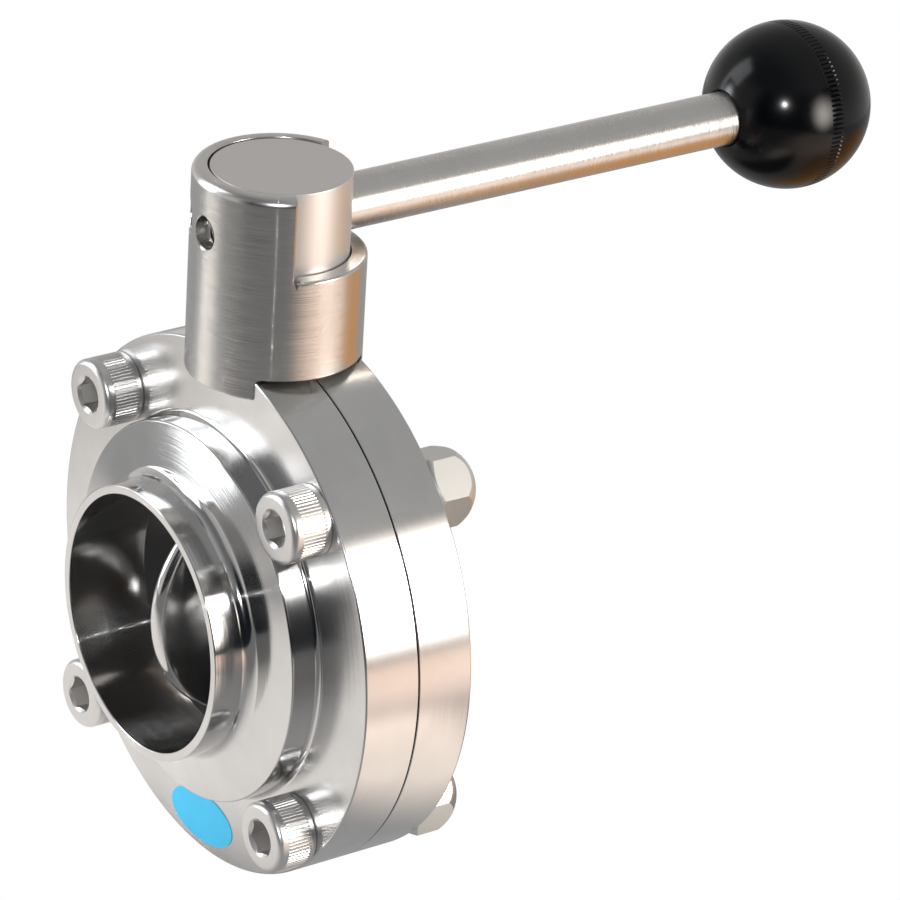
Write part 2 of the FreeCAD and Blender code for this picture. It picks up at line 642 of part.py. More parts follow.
def all_nodes():
    """Every sub-part by its name."""
    middle_of_seal = (SEAT_COLLAR_TOP + BUSHING_START) / 2
    return {
        "body_front": body_half(-1),
        "body_rear": body_half(1),
        "seat_ring": seat_ring(),
        "disc_stem": disc_stem(),
        "upper_bushing": stem_bushing(BUSHING_START, UPPER_POCKET_TOP),
        "lower_bushing": stem_bushing(-LOWER_BUSHING_END, -BUSHING_START),
        "upper_stem_seal": stem_seal(middle_of_seal),
        "lower_stem_seal": stem_seal(-middle_of_seal),
        "lower_thrust_pad": lower_thrust_pad(),
        "cap_screws": Part.makeCompound([cap_screw(centre) for centre in bolt_centres()]),
        "cap_nuts": Part.makeCompound([cap_nut(centre) for centre in bolt_centres()]),
        "handle_housing": handle_housing(),
        "handle_hub": handle_hub(),
        "hub_thrust_washer": hub_thrust_washer(),
        "hub_grub_screw": hub_grub_screw(),
        "lever_rod": lever_rod(),
        "lock_pin": lock_pin(),
        "pin_bush": pin_bush(),
        "lever_spring": lever_spring(),
        "ball_knob": ball_knob(),
        "knob_insert": knob_insert(),
        "test_label": test_label(),
    }


os.makedirs("parts", exist_ok=True)
for node_name, node_shape in all_nodes().items():
    node_shape.exportStep(f"parts/{node_name}.step")
    state = "valid" if node_shape.isValid() else "not valid"
    print(node_name, len(node_shape.Solids), "solids", round(node_shape.Volume, 1), "mm3", state)
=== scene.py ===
"""Weld-end butterfly valve: its surfaces, finishes and studio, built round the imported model.

Sizes are in metres. The flow runs along Y, the stem stands along Z and the lever points to +Y.
"""
import math

import bmesh
import bpy
from mathutils import Matrix, Quaternion, Vector


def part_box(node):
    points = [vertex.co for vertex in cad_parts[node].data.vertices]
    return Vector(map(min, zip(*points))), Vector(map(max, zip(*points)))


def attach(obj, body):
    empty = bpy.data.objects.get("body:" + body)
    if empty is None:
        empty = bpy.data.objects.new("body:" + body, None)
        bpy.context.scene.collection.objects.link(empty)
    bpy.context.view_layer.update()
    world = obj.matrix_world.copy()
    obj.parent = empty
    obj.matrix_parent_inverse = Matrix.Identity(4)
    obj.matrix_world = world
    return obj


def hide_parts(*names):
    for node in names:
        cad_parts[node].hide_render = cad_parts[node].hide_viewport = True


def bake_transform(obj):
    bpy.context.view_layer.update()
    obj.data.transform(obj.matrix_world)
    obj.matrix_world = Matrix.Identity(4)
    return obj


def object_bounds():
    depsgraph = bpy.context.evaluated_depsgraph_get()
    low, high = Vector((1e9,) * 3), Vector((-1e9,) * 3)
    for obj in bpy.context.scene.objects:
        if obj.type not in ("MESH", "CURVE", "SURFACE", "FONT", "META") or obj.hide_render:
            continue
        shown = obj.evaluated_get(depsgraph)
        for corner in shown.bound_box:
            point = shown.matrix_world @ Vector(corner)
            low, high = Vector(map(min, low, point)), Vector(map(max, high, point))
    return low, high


bl_info = {
    "name": "Weld-end Butterfly Valve",
    "version": (1, 0, 0),
    "blender": (4, 5, 0),
    "location": "View3D > Sidebar > Valve",
    "description": "Builds the surfaces, finishes and studio of a sanitary butterfly valve",
    "category": "Add Mesh",
}

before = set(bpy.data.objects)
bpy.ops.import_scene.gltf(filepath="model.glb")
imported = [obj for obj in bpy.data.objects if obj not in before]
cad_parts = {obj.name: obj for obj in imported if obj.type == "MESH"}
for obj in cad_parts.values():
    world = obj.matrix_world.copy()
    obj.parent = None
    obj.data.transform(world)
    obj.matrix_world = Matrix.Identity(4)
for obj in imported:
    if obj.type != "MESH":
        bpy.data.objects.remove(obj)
CAD_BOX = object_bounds()

MM = 0.001
TURN = 2 * math.pi
X_AXIS = Vector((1, 0, 0))
Y_AXIS = Vector((0, 1, 0))
Z_AXIS = Vector((0, 0, 1))
ORIGIN = Vector((0, 0, 0))
OVERCUT = 1 * MM
MERGE_DISTANCE = 0.001 * MM
SMOOTH_ANGLE = math.radians(24)
ROUND_CHORD = math.radians(11)
BLACK = (0, 0, 0, 1)
WHITE = (1, 1, 1, 1)

# Grooves and grain of the steels
NOISE_MEAN = 0.5
GROOVE_PITCH = 0.06 * MM
FLANK_SHARE = 0.05
FLANK_TILT = math.radians(65)
FLANK_WANDER = 4
FLANK_ROUGHNESS = 0.06
TUMBLE_GRAIN = 0.05 * MM

# Body, turned about the flow axis
FLANGE_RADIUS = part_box("body_rear")[1].x
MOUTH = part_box("body_rear")[1].y
TUBE_RADIUS = 25.4 * MM
TUBE_WALL = 1.65 * MM
FLANGE_FACE = 11.2 * MM
JOINT_FACE = 0.15 * MM
BOSS_RADIUS = 35.25 * MM
BOSS_END = 16.7 * MM
BOSS_TAPER = math.radians(13.3)
SEAT_HALF = 10.4 * MM
SEAT_OUTER = 28.5 * MM
SEAT_RIB_OUTER = 31 * MM
SEAT_RIB_HALF = 3 * MM
BUSHING_RADIUS = 8 * MM
STEM_RADIUS = 6 * MM
STEM_HOLE_RADIUS = 6.3 * MM
UPPER_POCKET_TOP = 47 * MM
LOWER_POCKET_END = 44 * MM
BOLT_OFFSET = 43.5 * MM / math.sqrt(2)
BOLT_HOLE_RADIUS = 4.4 * MM
SHANK_RADIUS = 4 * MM
BODY_STEPS = 256

# Handle, turned about the stem axis
HOUSING_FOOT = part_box("handle_housing")[0].z
HOUSING_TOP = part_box("handle_housing")[1].z
HOUSING_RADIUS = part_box("handle_housing")[1].x
HOUSING_BORE = 13 * MM
HOUSING_WALL = 2.8 * MM
HOUSING_SEAT = 49.4 * MM
HOUSING_FLOOR = 56 * MM
WINDOW_LEDGE = 68.1 * MM
WINDOW_START = math.radians(-23)
WINDOW_END = math.radians(114)
SADDLE_HALF = 11.3 * MM
LEVER_HEIGHT = 74 * MM
LEVER_LINE = Z_AXIS * LEVER_HEIGHT
LOCK_ANGLES = [math.radians(-90 - 30 * step) for step in range(4)]
HUB_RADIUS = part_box("handle_hub")[1].x
HUB_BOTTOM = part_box("handle_hub")[0].z
HUB_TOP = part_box("handle_hub")[1].z
CHAMBER_RADIUS = 6.5 * MM
SQUARE_HALF = 4.5 * MM
SQUARE_TOP = 66 * MM
ROD_RADIUS = 5 * MM
ROD_HOLE_RADIUS = 5.05 * MM
SPIGOT_RADIUS = 3 * MM
GRUB_RADIUS = 2.5 * MM
ACCESS_RADIUS = 2.8 * MM
ACCESS_HEIGHT = 61.4 * MM
ACCESS_ANGLE = math.radians(135)
HOUSING_STEPS = 360

# Columns of points to each rib of a screw head and each notch of the ball
COLUMNS = 4

# How far each screw and nut is turned in its place, in degrees, in the order of bolt_centres
SOCKET_TURNS = (33, 36, 21, 13)
NUT_TURNS = (-9, 12, -9, -8)


# Modelling


def activate(piece):
    """Makes a piece the only selected object and the active one."""
    bpy.ops.object.select_all(action="DESELECT")
    piece.select_set(True)
    bpy.context.view_layer.objects.active = piece


def rounded(corners):
    """The outline through (radius, station, round) corners, with every round made of short chords."""
    outline = []
    for index, (radius, station, fillet) in enumerate(corners):
        here = Vector((radius, station))
        if fillet == 0:
            outline.append(here)
            continue
        before = (Vector(corners[index - 1][:2]) - here).normalized()
        after = (Vector(corners[(index + 1) % len(corners)][:2]) - here).normalized()
        half = before.angle(after) / 2
        centre = here + (before + after).normalized() * (fillet / math.sin(half))
        first = here + before * (fillet / math.tan(half)) - centre
        last = here + after * (fillet / math.tan(half)) - centre
        start = math.atan2(first.y, first.x)
        sweep = math.remainder(math.atan2(last.y, last.x) - start, TURN)
        chords = max(3, math.ceil(abs(sweep) / ROUND_CHORD))
        for chord in range(chords + 1):
            angle = start + sweep * chord / chords
            outline.append(centre + Vector((math.cos(angle), math.sin(angle))) * fillet)
    return outline


def lathe(name, corners, axis, centre=ORIGIN, steps=BODY_STEPS, across=X_AXIS, sweep=TURN):
    """Turns an outline of (radius, station, round) corners about an axis through the centre."""
    places = [centre + across * point.x + axis * point.y for point in rounded(corners)]
    places.append(places[0])
    bpy.ops.object.select_all(action="DESELECT")
    bpy.ops.mesh.primitive_plane_add(size=MM, location=places[0])
    piece = bpy.context.object
    piece.name = name
    bpy.ops.object.mode_set(mode="EDIT")
    bpy.ops.mesh.merge(type="CENTER")
    for here, there in zip(places, places[1:]):
        bpy.ops.mesh.extrude_region_move(TRANSFORM_OT_translate={"value": there - here})
    bpy.ops.mesh.select_all(action="SELECT")
    bpy.ops.mesh.remove_doubles(threshold=MERGE_DISTANCE)
    bpy.ops.mesh.spin(steps=steps, angle=-sweep, center=centre, axis=axis)
    bpy.ops.mesh.select_all(action="SELECT")
    bpy.ops.mesh.remove_doubles(threshold=MERGE_DISTANCE)
    if sweep < TURN:
        bpy.ops.mesh.fill_holes(sides=0)
        bpy.ops.mesh.select_all(action="SELECT")
    bpy.ops.mesh.normals_make_consistent(inside=False)
    bpy.ops.object.mode_set(mode="OBJECT")
    bpy.ops.object.transform_apply(location=True, rotation=True, scale=True)
    return piece


def bar(radius, start, end, axis, centre=ORIGIN, sides=96, turn=0.0):
    """A straight bar along an axis through the centre, used as a cutter."""
    heading = axis.to_track_quat("Z", "Y") @ Quaternion(Z_AXIS, turn)
    bpy.ops.object.select_all(action="DESELECT")
    bpy.ops.mesh.primitive_cylinder_add(
        vertices=sides,
        radius=radius,
        depth=end - start,
        location=centre + axis * (start + end) / 2,
        rotation=heading.to_euler(),
    )
    bpy.ops.object.transform_apply(location=True, rotation=True, scale=True)
    return bpy.context.object


def block(low, high):
    """A box between two corners, used as a cutter."""
    low, high = Vector(low), Vector(high)
    bpy.ops.object.select_all(action="DESELECT")
    bpy.ops.mesh.primitive_cube_add(size=1, location=(low + high) / 2, scale=high - low)
    bpy.ops.object.transform_apply(location=True, rotation=True, scale=True)
    return bpy.context.object


def as_one(*shapes):
    """Joins separate cutters, which don't touch each other, into one."""
    activate(shapes[0])
    for shape in shapes:
        shape.select_set(True)
    bpy.ops.object.join()
    return bpy.context.object


def copy_of(piece, name, moved=ORIGIN, turn=None):
    """A copy of a piece with its own mesh, first turned in place and then moved."""
    other = piece.copy()
    other.data = piece.data.copy()
    other.name = name
    bpy.context.scene.collection.objects.link(other)
    activate(other)
    other.matrix_world = Matrix.Translation(moved) @ (turn or Matrix.Identity(4))
    bpy.ops.object.transform_apply(location=True, rotation=True, scale=True)
    return other


def join_shapes(piece, others, operation="DIFFERENCE"):
    """Cuts the other solids from a piece, or joins them to it, and removes them."""
    activate(piece)
    for other in others:
        modifier = piece.modifiers.new(operation.lower(), "BOOLEAN")
        modifier.operation = operation
        modifier.solver = "EXACT"
        modifier.object = other
        bpy.ops.object.modifier_apply(modifier=modifier.name)
        bpy.data.objects.remove(other)


def pick_points(test):
    """Selects the points of the mesh in edit mode whose place passes a test."""
    mesh = bmesh.from_edit_mesh(bpy.context.edit_object.data)
    for point in mesh.verts:
        point.select = test(point.co)
    mesh.select_flush_mode()
    bmesh.update_edit_mesh(bpy.context.edit_object.data)


def pick_edges(test):
    """Selects the edges of the mesh in edit mode whose two ends pass a test."""
    mesh = bmesh.from_edit_mesh(bpy.context.edit_object.data)
    for edge in mesh.edges:
        edge.select = test(edge.verts[0].co, edge.verts[1].co)
    mesh.select_flush_mode()
    bmesh.update_edit_mesh(bpy.context.edit_object.data)


def shade(piece):
    """Smooth curves, sharp corners and true flats."""
    activate(piece)
    bpy.ops.object.shade_smooth_by_angle(angle=SMOOTH_ANGLE)
    modifier = piece.modifiers.new("flats", "WEIGHTED_NORMAL")
    modifier.keep_sharp = True
    bpy.ops.object.modifier_apply(modifier=modifier.name)


def settle(piece, body, slot, material, *nodes):
    """Shades a finished piece, gives it its finish and its body, and hides the CAD nodes behind it."""
    shade(piece)
    piece.data.materials.clear()
    piece.data.materials.append(material)
    if body:
        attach(piece, body)
    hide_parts(*nodes)


def dress(node, material):
    """Gives a CAD node its finish."""
    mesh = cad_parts[node].data
    mesh.materials.clear()
    mesh.materials.append(material)


def around(angle, radius=1.0):
    """A point at an angle about the stem axis."""
    return Vector((math.cos(angle), math.sin(angle), 0)) * radius


# Materials


class Socket:
    """A shader output that takes part in Python sums."""

    def __init__(self, tree, output):
        self.tree = tree
        self.output = output

    def __add__(self, other):
        return self.tree.math("ADD", self, other)

    def __sub__(self, other):
        return self.tree.math("SUBTRACT", self, other)

    def __mul__(self, other):
        return self.tree.math("MULTIPLY", self, other)

    def __rsub__(self, other):
        return self.tree.math("SUBTRACT", other, self)

    __radd__ = __add__
    __rmul__ = __mul__


class Tree:
    """The nodes of one material or world."""

    def __init__(self, owner):
        owner.use_nodes = True
        self.nodes = owner.node_tree.nodes
        self.links = owner.node_tree.links
        self.nodes.clear()

    def add(self, kind, settings=None, inputs=None, output=0):
        """Adds a node: its settings first, then the values or links of its sockets."""
        node = self.nodes.new(kind)
        for name, value in (settings or {}).items():
            setattr(node, name, value)
        for name, value in (inputs or {}).items():
            if isinstance(value, Socket):
                self.links.new(value.output, node.inputs[name])
            else:
                node.inputs[name].default_value = value
        return Socket(self, node.outputs[output]) if len(node.outputs) else None

    def math(self, operation, first, second=0.0):
        return self.add("ShaderNodeMath", {"operation": operation}, {0: first, 1: second})

    def vector(self, operation, first, second=None, scale=None, output=0):
        inputs = {0: first}
        if second is not None:
            inputs[1] = second
        if scale is not None:
            inputs["Scale"] = scale
        return self.add("ShaderNodeVectorMath", {"operation": operation}, inputs, output)

    def place(self):
        return self.add("ShaderNodeTexCoord", output="Object")

    def noise(self, place, scale, detail, roughness):
        inputs = {"Vector": place, "Scale": scale, "Detail": detail, "Roughness": roughness}
        return self.add("ShaderNodeTexNoise", inputs=inputs, output="Fac")

    def between(self, value, low, high, start=0.0, end=1.0):
        """Where a value lies between two others, smoothly, as a share from start to end."""
        inputs = {0: value, 1: low, 2: high, 3: start, 4: end}
        return self.add("ShaderNodeMapRange", {"interpolation_type": "SMOOTHSTEP"}, inputs)

    def mix(self, share, first, second):
        inputs = {0: share, 6: first, 7: second}
        return self.add("ShaderNodeMix", {"data_type": "RGBA"}, inputs, 2)

    def finish(self, shader, kind="Material"):
        self.add("ShaderNodeOutput" + kind, inputs={"Surface": shader})


def new_material(name):
    material = bpy.data.materials.new(name)
    return material, Tree(material)


def colour_of(values, share=1.0):
    """A colour for a socket, darkened or lightened by a share."""
    return (*[value * share for value in values], 1.0)


def turned_steel(
    name,
    colour,
    axis,
    centre,
    roughness,
    fan,
    pitch=GROOVE_PITCH,
    arc=0.0,
    smudge=0.03,
    face_rough=0.0,
    rim_rough=0.0,
):
    """Steel turned on a lathe: fine grooves round an axis tilt the surface to and fro across them.

    Most of the surface tilts a little, by up to about fan. The grooves' own flanks, a small share of it,
    tilt by up to FLANK_TILT, which draws a bright line across the grooves under a small lamp. With an
    arc, the grooves change along their way round. The flat face of a flange may be rougher than the
    rest, by face_rough, and so may its rim, by rim_rough.
    """
    material, tree = new_material(name)
    place = tree.place()
    centred = tree.vector("SUBTRACT", place, centre)
    along = tree.vector("DOT_PRODUCT", centred, axis, output="Value")
    radial = tree.vector("MULTIPLY", centred, Vector((1, 1, 1)) - axis)
    radius = tree.vector("LENGTH", radial, output="Value")
    outward = tree.vector("NORMALIZE", radial)
    around_axis = tree.vector("CROSS_PRODUCT", axis, outward)
    normal = tree.add("ShaderNodeNewGeometry", output="Normal")
    across = tree.vector("CROSS_PRODUCT", around_axis, normal)
    groove_place = tree.add(
        "ShaderNodeCombineXYZ",
        inputs={"X": radius * (1 / pitch), "Y": along * (1 / pitch), "Z": 0.0},
    )
    turning_place = tree.vector("ADD", groove_place, tree.vector("SCALE", outward, scale=arc))
    grooves = tree.noise(turning_place, scale=1.0, detail=2.0, roughness=0.6)
    tilt = (grooves - NOISE_MEAN) * (2 * fan)
    bent = tree.vector("NORMALIZE", tree.vector("ADD", normal, tree.vector("SCALE", across, scale=tilt)))
    groove_count = (radius + along) * (1 / pitch)
    flank = tree.math("PINGPONG", groove_count + grooves * FLANK_WANDER, 1.0) * 2 - 1
    steep = tree.vector("SCALE", across, scale=tree.math("TANGENT", flank * FLANK_TILT))
    flank_normal = tree.vector("NORMALIZE", tree.vector("ADD", normal, steep))
    cloud = tree.noise(place, scale=90.0, detail=3.0, roughness=0.55)
    streak = tree.noise(turning_place, scale=0.08, detail=2.0, roughness=0.5)
    rough = roughness + (cloud - NOISE_MEAN) * smudge + (streak - NOISE_MEAN) * smudge
    if face_rough or rim_rough:
        facing = tree.math("ABSOLUTE", tree.vector("DOT_PRODUCT", normal, axis, output="Value"))
        beyond_boss = tree.between(radius, low=BOSS_RADIUS, high=BOSS_RADIUS + 2 * MM)
        on_rim = tree.between(radius, low=FLANGE_RADIUS - 1 * MM, high=FLANGE_RADIUS - 0.1 * MM)
        rough = rough + tree.between(facing, low=0.98, high=1.0) * beyond_boss * face_rough
        rough = rough + on_rim * rim_rough
    tint = tree.mix(tree.between(cloud, low=0.3, high=0.75), colour_of(colour), colour_of(colour, 0.93))
    surface, flanks = (
        tree.add(
            "ShaderNodeBsdfPrincipled",
            inputs={"Base Color": tint, "Metallic": 1.0, "Roughness": level, "Normal": tilted},
        )
        for level, tilted in ((rough, bent), (FLANK_ROUGHNESS, flank_normal))
    )
    tree.finish(tree.add("ShaderNodeMixShader", inputs={0: FLANK_SHARE, 1: surface, 2: flanks}))
    return material


def tumbled_steel(name, colour, roughness):
    """Small steel pieces with the even, fine grain of tumbling."""
    rough_spread = 0.12
    dark_share = 0.86
    material, tree = new_material(name)
    place = tree.place()
    speck = tree.noise(place, scale=1 / TUMBLE_GRAIN, detail=2.0, roughness=0.5)
    cloud = tree.noise(place, scale=260.0, detail=3.0, roughness=0.6)
    bump = tree.add("ShaderNodeBump", inputs={"Strength": 0.35, "Distance": 0.01 * MM, "Height": speck})
    rough = roughness + (cloud - NOISE_MEAN) * rough_spread
    tint = tree.mix(cloud, colour_of(colour, dark_share), colour_of(colour))
    shader = tree.add(
        "ShaderNodeBsdfPrincipled",
        inputs={"Base Color": tint, "Metallic": 1.0, "Roughness": rough, "Normal": bump},
    )
    tree.finish(shader)
    return material


def moulded(name, colour, roughness, grain, depth, gloss=0.5):
    """Rubber or plastic with a fine moulded grain and slight wear in its gloss."""
    rough_spread = 0.1
    worn_share = 1.25
    material, tree = new_material(name)
    place = tree.place()
    speck = tree.noise(place, scale=1 / grain, detail=3.0, roughness=0.6)
    wear = tree.noise(place, scale=120.0, detail=4.0, roughness=0.6)
    bump = tree.add("ShaderNodeBump", inputs={"Strength": depth, "Distance": 0.02 * MM, "Height": speck})
    rough = roughness + (wear - NOISE_MEAN) * rough_spread
    tint = tree.mix(wear, colour_of(colour), colour_of(colour, worn_share))
    shader = tree.add(
        "ShaderNodeBsdfPrincipled",
        inputs={
            "Base Color": tint,
            "Roughness": rough,
            "Specular IOR Level": gloss,
            "Normal": bump,
        },
    )
    tree.finish(shader)
    return material


# Sizes and colours


class ValveSizes(bpy.types.PropertyGroup):
    """Sizes of details that a user may want to change."""

    rim_round: bpy.props.FloatProperty(
        name="Rim Round",
        description="Radius of the flange's rim edges",
        default=0.4 * MM,
        unit="LENGTH",
        precision=5,
    )
    knurl_count: bpy.props.IntProperty(
        name="Knurl Ribs",
        description="Number of ribs round each screw head",
        default=64,
        min=16,
    )
    knurl_depth: bpy.props.FloatProperty(
        name="Knurl Depth",
        description="Depth of the grooves between the ribs of a screw head",
        default=0.16 * MM,
        unit="LENGTH",
        precision=5,
    )
    tick_count: bpy.props.IntProperty(
        name="Knob Notches",
        description="Number of notches in the band round the ball",
        default=110,
        min=12,
    )
    tick_depth: bpy.props.FloatProperty(
        name="Notch Depth",
        description="Depth of the notches in the band round the ball",
        default=0.26 * MM,
        unit="LENGTH",
        precision=5,
    )


class ValveColours(bpy.types.PropertyGroup):
    """Base colours of the valve's finishes."""

    body: bpy.props.FloatVectorProperty(
        name="Body Steel",
        description="Polished steel of the body",
        subtype="COLOR",
        default=(0.70, 0.695, 0.69),
    )
    handle: bpy.props.FloatVectorProperty(
        name="Handle Steel",
        description="Brushed steel of the handle",
        subtype="COLOR",
        default=(0.70, 0.685, 0.665),
    )
    fastener: bpy.props.FloatVectorProperty(
        name="Fastener Steel",
        description="Steel of the screws and nuts",
        subtype="COLOR",
        default=(0.72, 0.71, 0.70),
    )
    rubber: bpy.props.FloatVectorProperty(
        name="Seat Rubber",
        description="Black rubber of the seat",
        subtype="COLOR",
        default=(0.018, 0.018, 0.019),
    )
    knob: bpy.props.FloatVectorProperty(
        name="Knob Plastic",
        description="Black plastic of the ball",
        subtype="COLOR",
        default=(0.0012, 0.0015, 0.0022),
    )
    label: bpy.props.FloatVectorProperty(
        name="Label Blue",
        description="Vinyl of the oval label",
        subtype="COLOR",
        default=(0.06, 0.53, 0.85),
    )


class ValveStudio(bpy.types.PropertyGroup):
    """Strengths of the studio's lights."""

    right_box: bpy.props.FloatProperty(
        name="Right Softbox", description="Brightness of the softbox on the right", default=15.0
    )
    left_box: bpy.props.FloatProperty(
        name="Left Softbox", description="Brightness of the tall softbox on the left", default=3.2
    )
    left_middle: bpy.props.FloatProperty(
        name="Left Softbox Middle", description="Brightness of the left softbox at its lamp", default=17.0
    )
    spot: bpy.props.FloatProperty(
        name="Small Lamp", description="Brightness of the small lamp beside the camera", default=22000.0
    )
    table: bpy.props.FloatProperty(
        name="Table", description="How pale the table under the valve is", default=0.37, min=0, max=1
    )


# Operators


class ValveOperator:
    """What every operator here shares."""

    bl_options = {"REGISTER", "UNDO"}

    @staticmethod
    def settings(context):
        scene = context.scene
        return scene.valve_sizes, scene.valve_colours, scene.valve_studio


class VALVE_OT_body(ValveOperator, bpy.types.Operator):
    """Turns the two halves of the body, with their tube ends, bosses and flanges"""

    bl_idname = "valve.body"
    bl_label = "Body Halves"

    def execute(self, context):
        sizes, colours, _ = self.settings(context)
        steel = turned_steel(
            "body_steel",
            colours.body,
            Y_AXIS,
            ORIGIN,
            roughness=0.1,
            fan=0.05,
            face_rough=0.11,
            rim_rough=0.09,
        )
        joint_round = 0.15 * MM
        boss_foot_round = 1 * MM
        boss_edge_round = 0.4 * MM
        tube_root_round = 2.5 * MM
        tube_edge_round = 0.25 * MM
        tube_root = BOSS_END + (BOSS_RADIUS - TUBE_RADIUS) * math.tan(BOSS_TAPER)
        inner = TUBE_RADIUS - TUBE_WALL
        corners = [
            (SEAT_RIB_OUTER, JOINT_FACE, 0),
            (FLANGE_RADIUS, JOINT_FACE, joint_round),
            (FLANGE_RADIUS, FLANGE_FACE, sizes.rim_round),
            (BOSS_RADIUS, FLANGE_FACE, boss_foot_round),
            (BOSS_RADIUS, BOSS_END, boss_edge_round),
            (TUBE_RADIUS, tube_root, tube_root_round),
            (TUBE_RADIUS, MOUTH, tube_edge_round),
            (inner, MOUTH, tube_edge_round),
            (inner, SEAT_HALF, 0),
            (SEAT_OUTER, SEAT_HALF, 0),
            (SEAT_OUTER, SEAT_RIB_HALF, 0),
            (SEAT_RIB_OUTER, SEAT_RIB_HALF, 0),
        ]
        front = lathe("front_half", corners, -Y_AXIS)
        bolt_reach = 2 * FLANGE_FACE
        holes = [
            bar(BOLT_HOLE_RADIUS, -bolt_reach, bolt_reach, Y_AXIS, centre, sides=48)
            for centre in bolt_centres()
        ]
        holes.append(bar(BUSHING_RADIUS, TUBE_RADIUS, UPPER_POCKET_TOP, Z_AXIS))
        holes.append(bar(BUSHING_RADIUS, -LOWER_POCKET_END, -TUBE_RADIUS, Z_AXIS))
        flat = block(
            (-HOUSING_RADIUS, -FLANGE_FACE - OVERCUT, HOUSING_SEAT),
            (HOUSING_RADIUS, FLANGE_FACE + OVERCUT, FLANGE_RADIUS + OVERCUT),
        )
        neck = bar(STEM_HOLE_RADIUS, UPPER_POCKET_TOP - OVERCUT, FLANGE_RADIUS + OVERCUT, Z_AXIS)
        join_shapes(front, [as_one(*holes), flat, neck])
        rear = copy_of(front, "rear_half", turn=Matrix.Scale(-1, 4, Y_AXIS))
        bpy.ops.object.mode_set(mode="EDIT")
        bpy.ops.mesh.select_all(action="SELECT")
        bpy.ops.mesh.normals_make_consistent(inside=False)
        bpy.ops.object.mode_set(mode="OBJECT")
        settle(front, "valve_body", "body_steel", steel, "body_front")
        settle(rear, "valve_body", "body_steel", steel, "body_rear")
        return {"FINISHED"}


def bolt_centres():
    """The four points where the screws cross the joint plane."""
    return [Vector((x, 0, z)) * BOLT_OFFSET for x, z in ((1, 1), (-1, 1), (-1, -1), (1, -1))]


class VALVE_OT_disc(ValveOperator, bpy.types.Operator):
    """Shapes the lens of the disc with its hubs and stem"""

    bl_idname = "valve.disc"
    bl_label = "Disc and Stem"

    def execute(self, context):
        _, colours, _ = self.settings(context)
        disc_radius = 23.6 * MM
        rim_half = 1.8 * MM
        centre_half = 6.2 * MM
        face_edge = disc_radius - rim_half
        face_rise = 1.3 * MM
        crown_rise = centre_half - rim_half - face_rise
        crown_reach = 0.85
        face_rows = 28
        rim_rows = 12
        outline = []
        for row in range(face_rows):
            share = row / face_rows
            crown = math.cos(math.pi / 2 * min(1, share / crown_reach)) ** 2
            station = rim_half + face_rise * (1 - share**2) + crown_rise * crown
            outline.append((face_edge * share, station, 0))
        for row in range(rim_rows + 1):
            angle = math.pi / 2 - math.pi * row / rim_rows
            outline.append((face_edge + rim_half * math.cos(angle), rim_half * math.sin(angle), 0))
        for row in reversed(range(face_rows)):
            radius, station, _ = outline[row]
            outline.append((radius, -station, 0))
        disc = lathe("disc_and_stem", outline, X_AXIS, across=Y_AXIS, steps=192)
        stem_end = -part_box("disc_stem")[0].z
        hub_radius = 8.5 * MM
        hub_root = 12 * MM
        hub_end = disc_radius - 0.3 * MM
        edge_round = 0.2 * MM
        tip_round = 0.3 * MM
        hub_corners = [
            (0, 0, 0),
            (STEM_RADIUS, 0, 0),
            (STEM_RADIUS, hub_root, 0),
            (hub_radius, face_edge, 0),
            (hub_radius, hub_end, edge_round),
            (0, hub_end, 0),
        ]
        stem_corners = [
            (0, -stem_end, 0),
            (STEM_RADIUS, -stem_end, tip_round),
            (STEM_RADIUS, HUB_BOTTOM, edge_round),
            (0, HUB_BOTTOM, 0),
        ]
        parts = [
            lathe("upper_hub", hub_corners, Z_AXIS, steps=96),
            lathe("lower_hub", hub_corners, -Z_AXIS, steps=96),
            lathe("stem", stem_corners, Z_AXIS, steps=96),
            bar(SQUARE_HALF * math.sqrt(2), HUB_BOTTOM - OVERCUT, SQUARE_TOP, Z_AXIS, sides=4),
        ]
        join_shapes(disc, parts, "UNION")
        steel = turned_steel(
            "disc_steel", colours.body, Z_AXIS, ORIGIN, roughness=0.12, fan=0.03, pitch=0.08 * MM
        )
        settle(disc, "rotor", "disc_steel", steel, "disc_stem")
        return {"FINISHED"}


